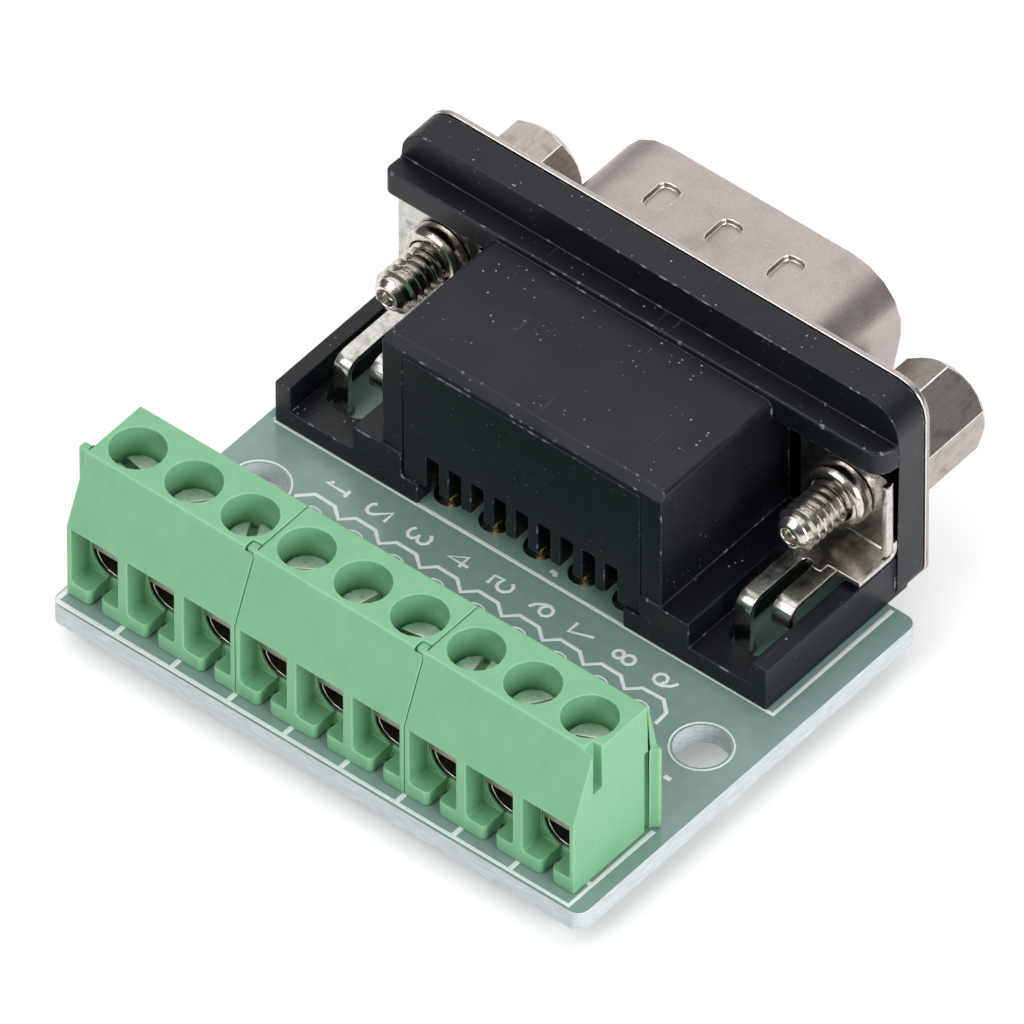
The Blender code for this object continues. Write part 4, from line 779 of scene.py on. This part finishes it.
silk_ink, tree, place = start_material("screened_white_epoxy_ink")
speckle = add(tree, "ShaderNodeTexNoise", {"Vector": place, "Scale": per(SPECKLE_MM),
                                           "Detail": 3.0})
thin = add(tree, "ShaderNodeMapRange", {
    "Value": speckle.outputs["Fac"], "From Min": 0.55, "From Max": 0.7,
    "To Min": 0.0, "To Max": 0.5})
ink = add(tree, "ShaderNodeMix", {SHARE: thin.outputs[0], COLOUR_A: colour("#EEF2F2"),
                                  COLOUR_B: colour("#B9CCC6")}, data_type="RGBA")
bump = add(tree, "ShaderNodeBump", {"Height": speckle.outputs["Fac"], "Strength": 0.3,
                                    "Distance": INK_GRAIN_DEPTH})
shader = add(tree, "ShaderNodeBsdfPrincipled", {
    "Base Color": ink.outputs[MIXED], "Roughness": 0.55, "IOR": 1.5, "Normal": bump.outputs[0]})
end_material(tree, shader)


def ink_lines(name, strokes, width_mm):
    """One piece of flat beads along these strokes, each a list of places on the board in mm."""
    curve = bpy.data.curves.new(name, "CURVE")
    curve.dimensions = "3D"
    curve.bevel_depth = width_mm / 2 * MM
    curve.bevel_resolution = 2
    curve.use_fill_caps = True
    for stroke in strokes:
        spline = curve.splines.new("POLY")
        spline.points.add(len(stroke) - 1)
        for point, (right, back) in zip(spline.points, stroke):
            point.co = (*on_board(right, back).xy, 0.0, 1.0)
    only(linked(name, curve))
    bpy.ops.object.convert(target="MESH")
    piece = bpy.context.object
    piece.data.transform(Matrix.Diagonal((1.0, 1.0, INK_HEIGHT * 2 / width_mm, 1.0)))
    piece.data.transform(Matrix.Translation((0.0, 0.0, BOARD_CORNER.z)))
    piece.data.materials.clear()
    piece.data.materials.append(silk_ink)
    smoothed(piece, 60)
    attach(piece, "adapter")


print("material:", silk_ink.name, len(silk_ink.node_tree.nodes), "nodes")

# %% [markdown]
# The outlines follow the parts: one round the three terminal blocks with a tick at each gap
# between ways, one along the plug's front with its ticks and a comma, a dash beside a mounting
# hole, and a zigzag behind the blocks that runs past each test pad. The zigzag, the pads and the
# digits keep a pitch of a tenth of an inch.

# %% Outline of the parts
JOINT_PITCH = 2.54
BLOCKS_LEFT, BLOCKS_RIGHT = 0.2, 32.03
BLOCKS_FRONT, BLOCKS_FACE, BLOCKS_BACK = 0.25, 2.0, 6.6
FIRST_TICK, TICK_BACK = 3.83, 1.0
PLUG_LEFT, PLUG_RIGHT = 0.56, 31.5
PLUG_FRONT, PLUG_BACK = 16.2, 25.2
PLUG_TICKS = [[(9.1, 16.28), (9.1, 17.16)], [(23.07, 16.26), (23.07, 16.9)]]
DASH = [(30.1, 9.75), (30.5, 9.75)]
COMMA = [(17.2, 16.85), (17.5, 16.85), (17.6, 16.65)]
BLOCKS_LINE, PLUG_LINE, ZIGZAG_LINE, DIGIT_STROKE = 0.28, 0.26, 0.22, 0.19

ticks = [FIRST_TICK + WAY_PITCH * gap for gap in range(WAYS - 1)]
round_blocks = [
    [(BLOCKS_LEFT, BLOCKS_FRONT), (BLOCKS_RIGHT, BLOCKS_FRONT), (BLOCKS_RIGHT, BLOCKS_BACK)],
    [(BLOCKS_LEFT, BLOCKS_FRONT), (BLOCKS_LEFT, BLOCKS_BACK)],
    [(BLOCKS_LEFT, BLOCKS_FACE), (BLOCKS_RIGHT, BLOCKS_FACE)],
    *[[(tick, BLOCKS_FRONT), (tick, TICK_BACK)] for tick in ticks]]
ink_lines("ink_round_blocks", round_blocks, BLOCKS_LINE)
round_plug = [
    [(PLUG_LEFT, PLUG_FRONT), (PLUG_RIGHT, PLUG_FRONT), (PLUG_RIGHT, PLUG_BACK)],
    [(PLUG_LEFT, PLUG_FRONT), (PLUG_LEFT, PLUG_BACK)],
    *PLUG_TICKS, DASH, COMMA]
ink_lines("ink_round_plug", round_plug, PLUG_LINE)

zigzag = [(4.518, 12.87)]
for joint in range(WAYS - 1):
    right = JOINT_PITCH * joint
    zigzag += [(5.24 + right, 13.6), (6.48 + right, 13.57), (7.17 + right, 13.0)]
zigzag += [(5.24 + JOINT_PITCH * (WAYS - 1), 13.6), (26.85, 13.65), (27.5, 13.05), (27.55, 12.15)]
ink_lines("ink_zigzag", [zigzag], ZIGZAG_LINE)
print("zigzag corners:", len(zigzag))

# %% [markdown]
# The nine digits number the ways. They are drawn with single strokes, as a plotter would, on a
# square of one unit. They lie on their side, with their tops to the left. On this board they are
# printed as a mirror image, as when a layer is plotted from the wrong side, so each is drawn that
# way round.

# %% Digits
DIGIT_HEIGHT = 1.22
FIRST_DIGIT = 5.80
DIGIT_LINE = 14.62


def loop(middle, radius, steps=12):
    """A closed ring of points for the round parts of a digit."""
    turns = [math.tau * step / steps for step in range(steps + 1)]
    return [(radius * math.cos(turn), middle + radius * math.sin(turn)) for turn in turns]


SIX = [(.22, .5), (-.05, .36), (-.26, .05), (-.3, -.2), (-.2, -.42), (0, -.5), (.2, -.42),
       (.3, -.22), (.22, -.02), (.02, .06), (-.18, -.02), (-.29, -.15)]
DIGITS = [
    [[(-.15, .3), (.05, .5), (.05, -.5)], [(-.15, -.5), (.25, -.5)]],
    [[(-.3, .3), (-.2, .45), (0, .5), (.2, .45), (.3, .28), (.25, .1), (-.3, -.5), (.3, -.5)]],
    [[(-.28, .38), (-.1, .5), (.12, .5), (.28, .36), (.28, .16), (.1, .02), (-.05, .02)],
     [(.1, .02), (.3, -.14), (.3, -.34), (.12, -.5), (-.12, -.5), (-.3, -.36)]],
    [[(.12, -.5), (.12, .5), (-.32, -.18), (.32, -.18)]],
    [[(.28, .5), (-.22, .5), (-.27, .06), (0, .14), (.2, .08), (.3, -.1), (.28, -.32),
      (.1, -.5), (-.14, -.5), (-.3, -.36)]],
    [SIX],
    [[(-.3, .5), (.3, .5), (-.08, -.5)]],
    [loop(0.26, 0.22), loop(-0.24, 0.26)],
    [[(-x, -y) for x, y in SIX]],
]
strokes = []
for place_in_row, digit in enumerate(DIGITS):
    middle = FIRST_DIGIT + JOINT_PITCH * place_in_row
    strokes += [[(middle - y * DIGIT_HEIGHT, DIGIT_LINE - x * DIGIT_HEIGHT) for x, y in stroke]
                for stroke in digit]
ink_lines("ink_digits", strokes, DIGIT_STROKE)
print("digit strokes:", len(strokes))

# %% [markdown]
# ## Solder
#
# Where a tail comes through the board, solder climbs it in a concave cone. One joint is modelled
# by spinning its profile, and then copied to every tail. On top, each pad is a flat ring of tinned
# copper with a low bead round the tail.

# %% Solder joints
SAME_SPUN_POINT = 2e-6
BAR_TAIL_FROM_BACK = 0.25 * MM
PIN_TAIL_FROM_FRONT = 0.35 * MM
UNDER_PROFILE = [(0.0, -1.05), (0.42, -1.05), (0.46, -0.8), (0.56, -0.45), (0.78, -0.16),
                 (0.95, -0.04), (0.95, 0.0), (0.0, 0.0)]
TOP_PROFILE = [(0.0, 0.0), (0.9, 0.0), (0.9, 0.03), (0.62, 0.06), (0.5, 0.12), (0.0, 0.12)]


def spun(name, profile, finish, steps=20):
    """Turn a profile of (radius, height) points in mm round the upright axis."""
    mesh = bpy.data.meshes.new(name)
    points = [(radius * MM, 0.0, height * MM) for radius, height in profile]
    mesh.from_pydata(points, [(i, i + 1) for i in range(len(points) - 1)], [])
    piece = linked(name, mesh)
    only(piece)
    bpy.ops.object.mode_set(mode="EDIT")
    bpy.ops.mesh.select_all(action="SELECT")
    bpy.ops.mesh.spin(steps=steps, angle=math.tau, center=(0, 0, 0), axis=(0, 0, 1))
    bpy.ops.mesh.select_all(action="SELECT")
    bpy.ops.mesh.remove_doubles(threshold=SAME_SPUN_POINT)
    bpy.ops.mesh.select_all(action="SELECT")
    bpy.ops.mesh.normals_make_consistent(inside=False)
    bpy.ops.object.mode_set(mode="OBJECT")
    piece.data.materials.append(finish)
    smoothed(piece, 40)
    return piece


under_joint = spun("solder_under", UNDER_PROFILE, solder)
top_joint = spun("solder_pad", TOP_PROFILE, solder)
tails = []
for way in range(1, WAYS + 1):
    low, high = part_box(f"terminal_contact_{way}")
    tails.append((f"terminal_{way}", (low.x + high.x) / 2, high.y - BAR_TAIL_FROM_BACK))
    low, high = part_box(f"contact_pin_{way}")
    tails.append((f"plug_{way}", (low.x + high.x) / 2, low.y + PIN_TAIL_FROM_FRONT))
for name, right, back in tails:
    under = copied(under_joint, f"solder_under_{name}", Vector((right, back, BOARD_LOW.z)))
    pad = copied(top_joint, f"solder_pad_{name}", Vector((right, back, BOARD_HIGH.z)))
    for piece in (under, pad):
        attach(piece, "adapter")
bpy.data.objects.remove(under_joint)
bpy.data.objects.remove(top_joint)
print("solder joints:", len(tails) * 2)

# %% [markdown]
# Thin rings are printed round each of the two mounting holes, and round a row of small test pads
# that are half hidden under the back of the terminal blocks.

# %% Printed rings
RING_THICK = 0.03
RING_SLOPE = 0.02
HOLES = {"left": 2.73, "right": 30.22}
HOLES_BACK = 12.4
HOLE_RING = (1.53, 1.64)
FIRST_PAD = 5.9
PADS_BACK = 12.25
PAD_RING = (0.61, 0.71)


def printed_ring(name, inner, outer, steps):
    """A flat ring of ink, modelled at zero."""
    section = [(inner, 0.0), (outer, 0.0), (outer - RING_SLOPE, RING_THICK),
               (inner + RING_SLOPE, RING_THICK), (inner, 0.0)]
    return spun(name, section, silk_ink, steps)


hole_ring = printed_ring("ring_round_hole", *HOLE_RING, steps=40)
pad_ring = printed_ring("test_pad", *PAD_RING, steps=24)
rings = [copied(hole_ring, f"ring_round_hole_{side}", on_board(right, HOLES_BACK))
         for side, right in HOLES.items()]
rings += [copied(pad_ring, f"test_pad_{way + 1}",
                 on_board(FIRST_PAD + JOINT_PITCH * way, PADS_BACK)) for way in range(WAYS)]
for ring in rings:
    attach(ring, "adapter")
bpy.data.objects.remove(hole_ring)
bpy.data.objects.remove(pad_ring)
print("rings on the board:", len(rings))

# %% [markdown]
# ## The floor
#
# The photograph has a white background. The floor is white paper, and seen directly, or mirrored
# in a metal, it is lifted to full white, while it still takes the object's shadow.

# %% Floor
bpy.ops.object.select_all(action="DESELECT")
bpy.ops.mesh.primitive_grid_add(x_subdivisions=2, y_subdivisions=2, size=3.0, location=(0, 0, 0))
floor = bpy.context.object
floor.name = "studio_floor"
paper, tree, place = start_material("white_paper_sweep")
fibre = add(tree, "ShaderNodeTexNoise", {"Vector": place, "Scale": per(4.0), "Detail": 3.0})
sheet = add(tree, "ShaderNodeMix", {SHARE: fibre.outputs["Fac"], COLOUR_A: colour("#F4F4F4"),
                                    COLOUR_B: colour("#FAFAFA")}, data_type="RGBA")
matt = add(tree, "ShaderNodeBsdfDiffuse", {"Color": sheet.outputs[MIXED]})
seen = add(tree, "ShaderNodeLightPath")
direct = add(tree, "ShaderNodeMath", {0: seen.outputs["Is Camera Ray"],
                                      1: seen.outputs["Is Glossy Ray"]}, operation="MAXIMUM")
lifted = add(tree, "ShaderNodeMath", {0: direct.outputs[0],
                                      1: seen.outputs["Is Transmission Ray"]},
             operation="MAXIMUM")
lift_by = add(tree, "ShaderNodeMath", {0: lifted.outputs[0], 1: 0.25}, operation="MULTIPLY")
glow = add(tree, "ShaderNodeEmission", {"Color": colour("#FFFFFF"),
                                        "Strength": lift_by.outputs[0]})
both = add(tree, "ShaderNodeAddShader", {0: matt.outputs[0], 1: glow.outputs[0]})
end_material(tree, both)
floor.data.materials.append(paper)
print("floor at", floor.location.z)

# %% [markdown]
# ## World and lamps
#
# The light in the photograph is soft, and comes mostly from above and behind. A very large lamp
# behind on the left lights the top and leaves the board in front of the plug in shade. Two smaller
# ones fill in from the right and from the front. The world is dark but for the sky overhead, and
# that darkness is what bent metal shows along its curves.

# %% World and lamps
OVER_THE_OBJECT = (0, 0, 0.006)

world = bpy.data.worlds.new("studio")
bpy.context.scene.world = world
world.use_nodes = True
tree = world.node_tree
tree.nodes.clear()
outward = add(tree, "ShaderNodeTexCoord")
parts = add(tree, "ShaderNodeSeparateXYZ", {0: outward.outputs["Generated"]})
height = add(tree, "ShaderNodeMapRange", {
    "Value": parts.outputs["Z"], "From Min": 0.45, "From Max": 1.0,
    "To Min": 0.12, "To Max": 0.5})
sky = add(tree, "ShaderNodeBackground", {"Color": colour("#FFFFFF"),
                                         "Strength": height.outputs[0]})
add(tree, "ShaderNodeOutputWorld", {"Surface": sky.outputs[0]})


def lamp(name, place, size, power):
    """A square soft lamp that faces the object, sized in metres and powered in watts."""
    data = bpy.data.lights.new(name, "AREA")
    data.shape = "SQUARE"
    data.size = size
    data.energy = power
    made = linked(name, data)
    made.location = place
    to_object = Vector(OVER_THE_OBJECT) - Vector(place)
    made.rotation_euler = to_object.to_track_quat("-Z", "Y").to_euler()


lamp("key_lamp", (-0.22, 0.42, 0.60), 1.2, 4.2)
lamp("side_lamp", (0.75, -0.12, 0.30), 0.4, 4.4)
lamp("fill_lamp", (-0.15, -0.45, 0.45), 0.5, 1.8)
bpy.context.scene.view_settings.view_transform = "Standard"
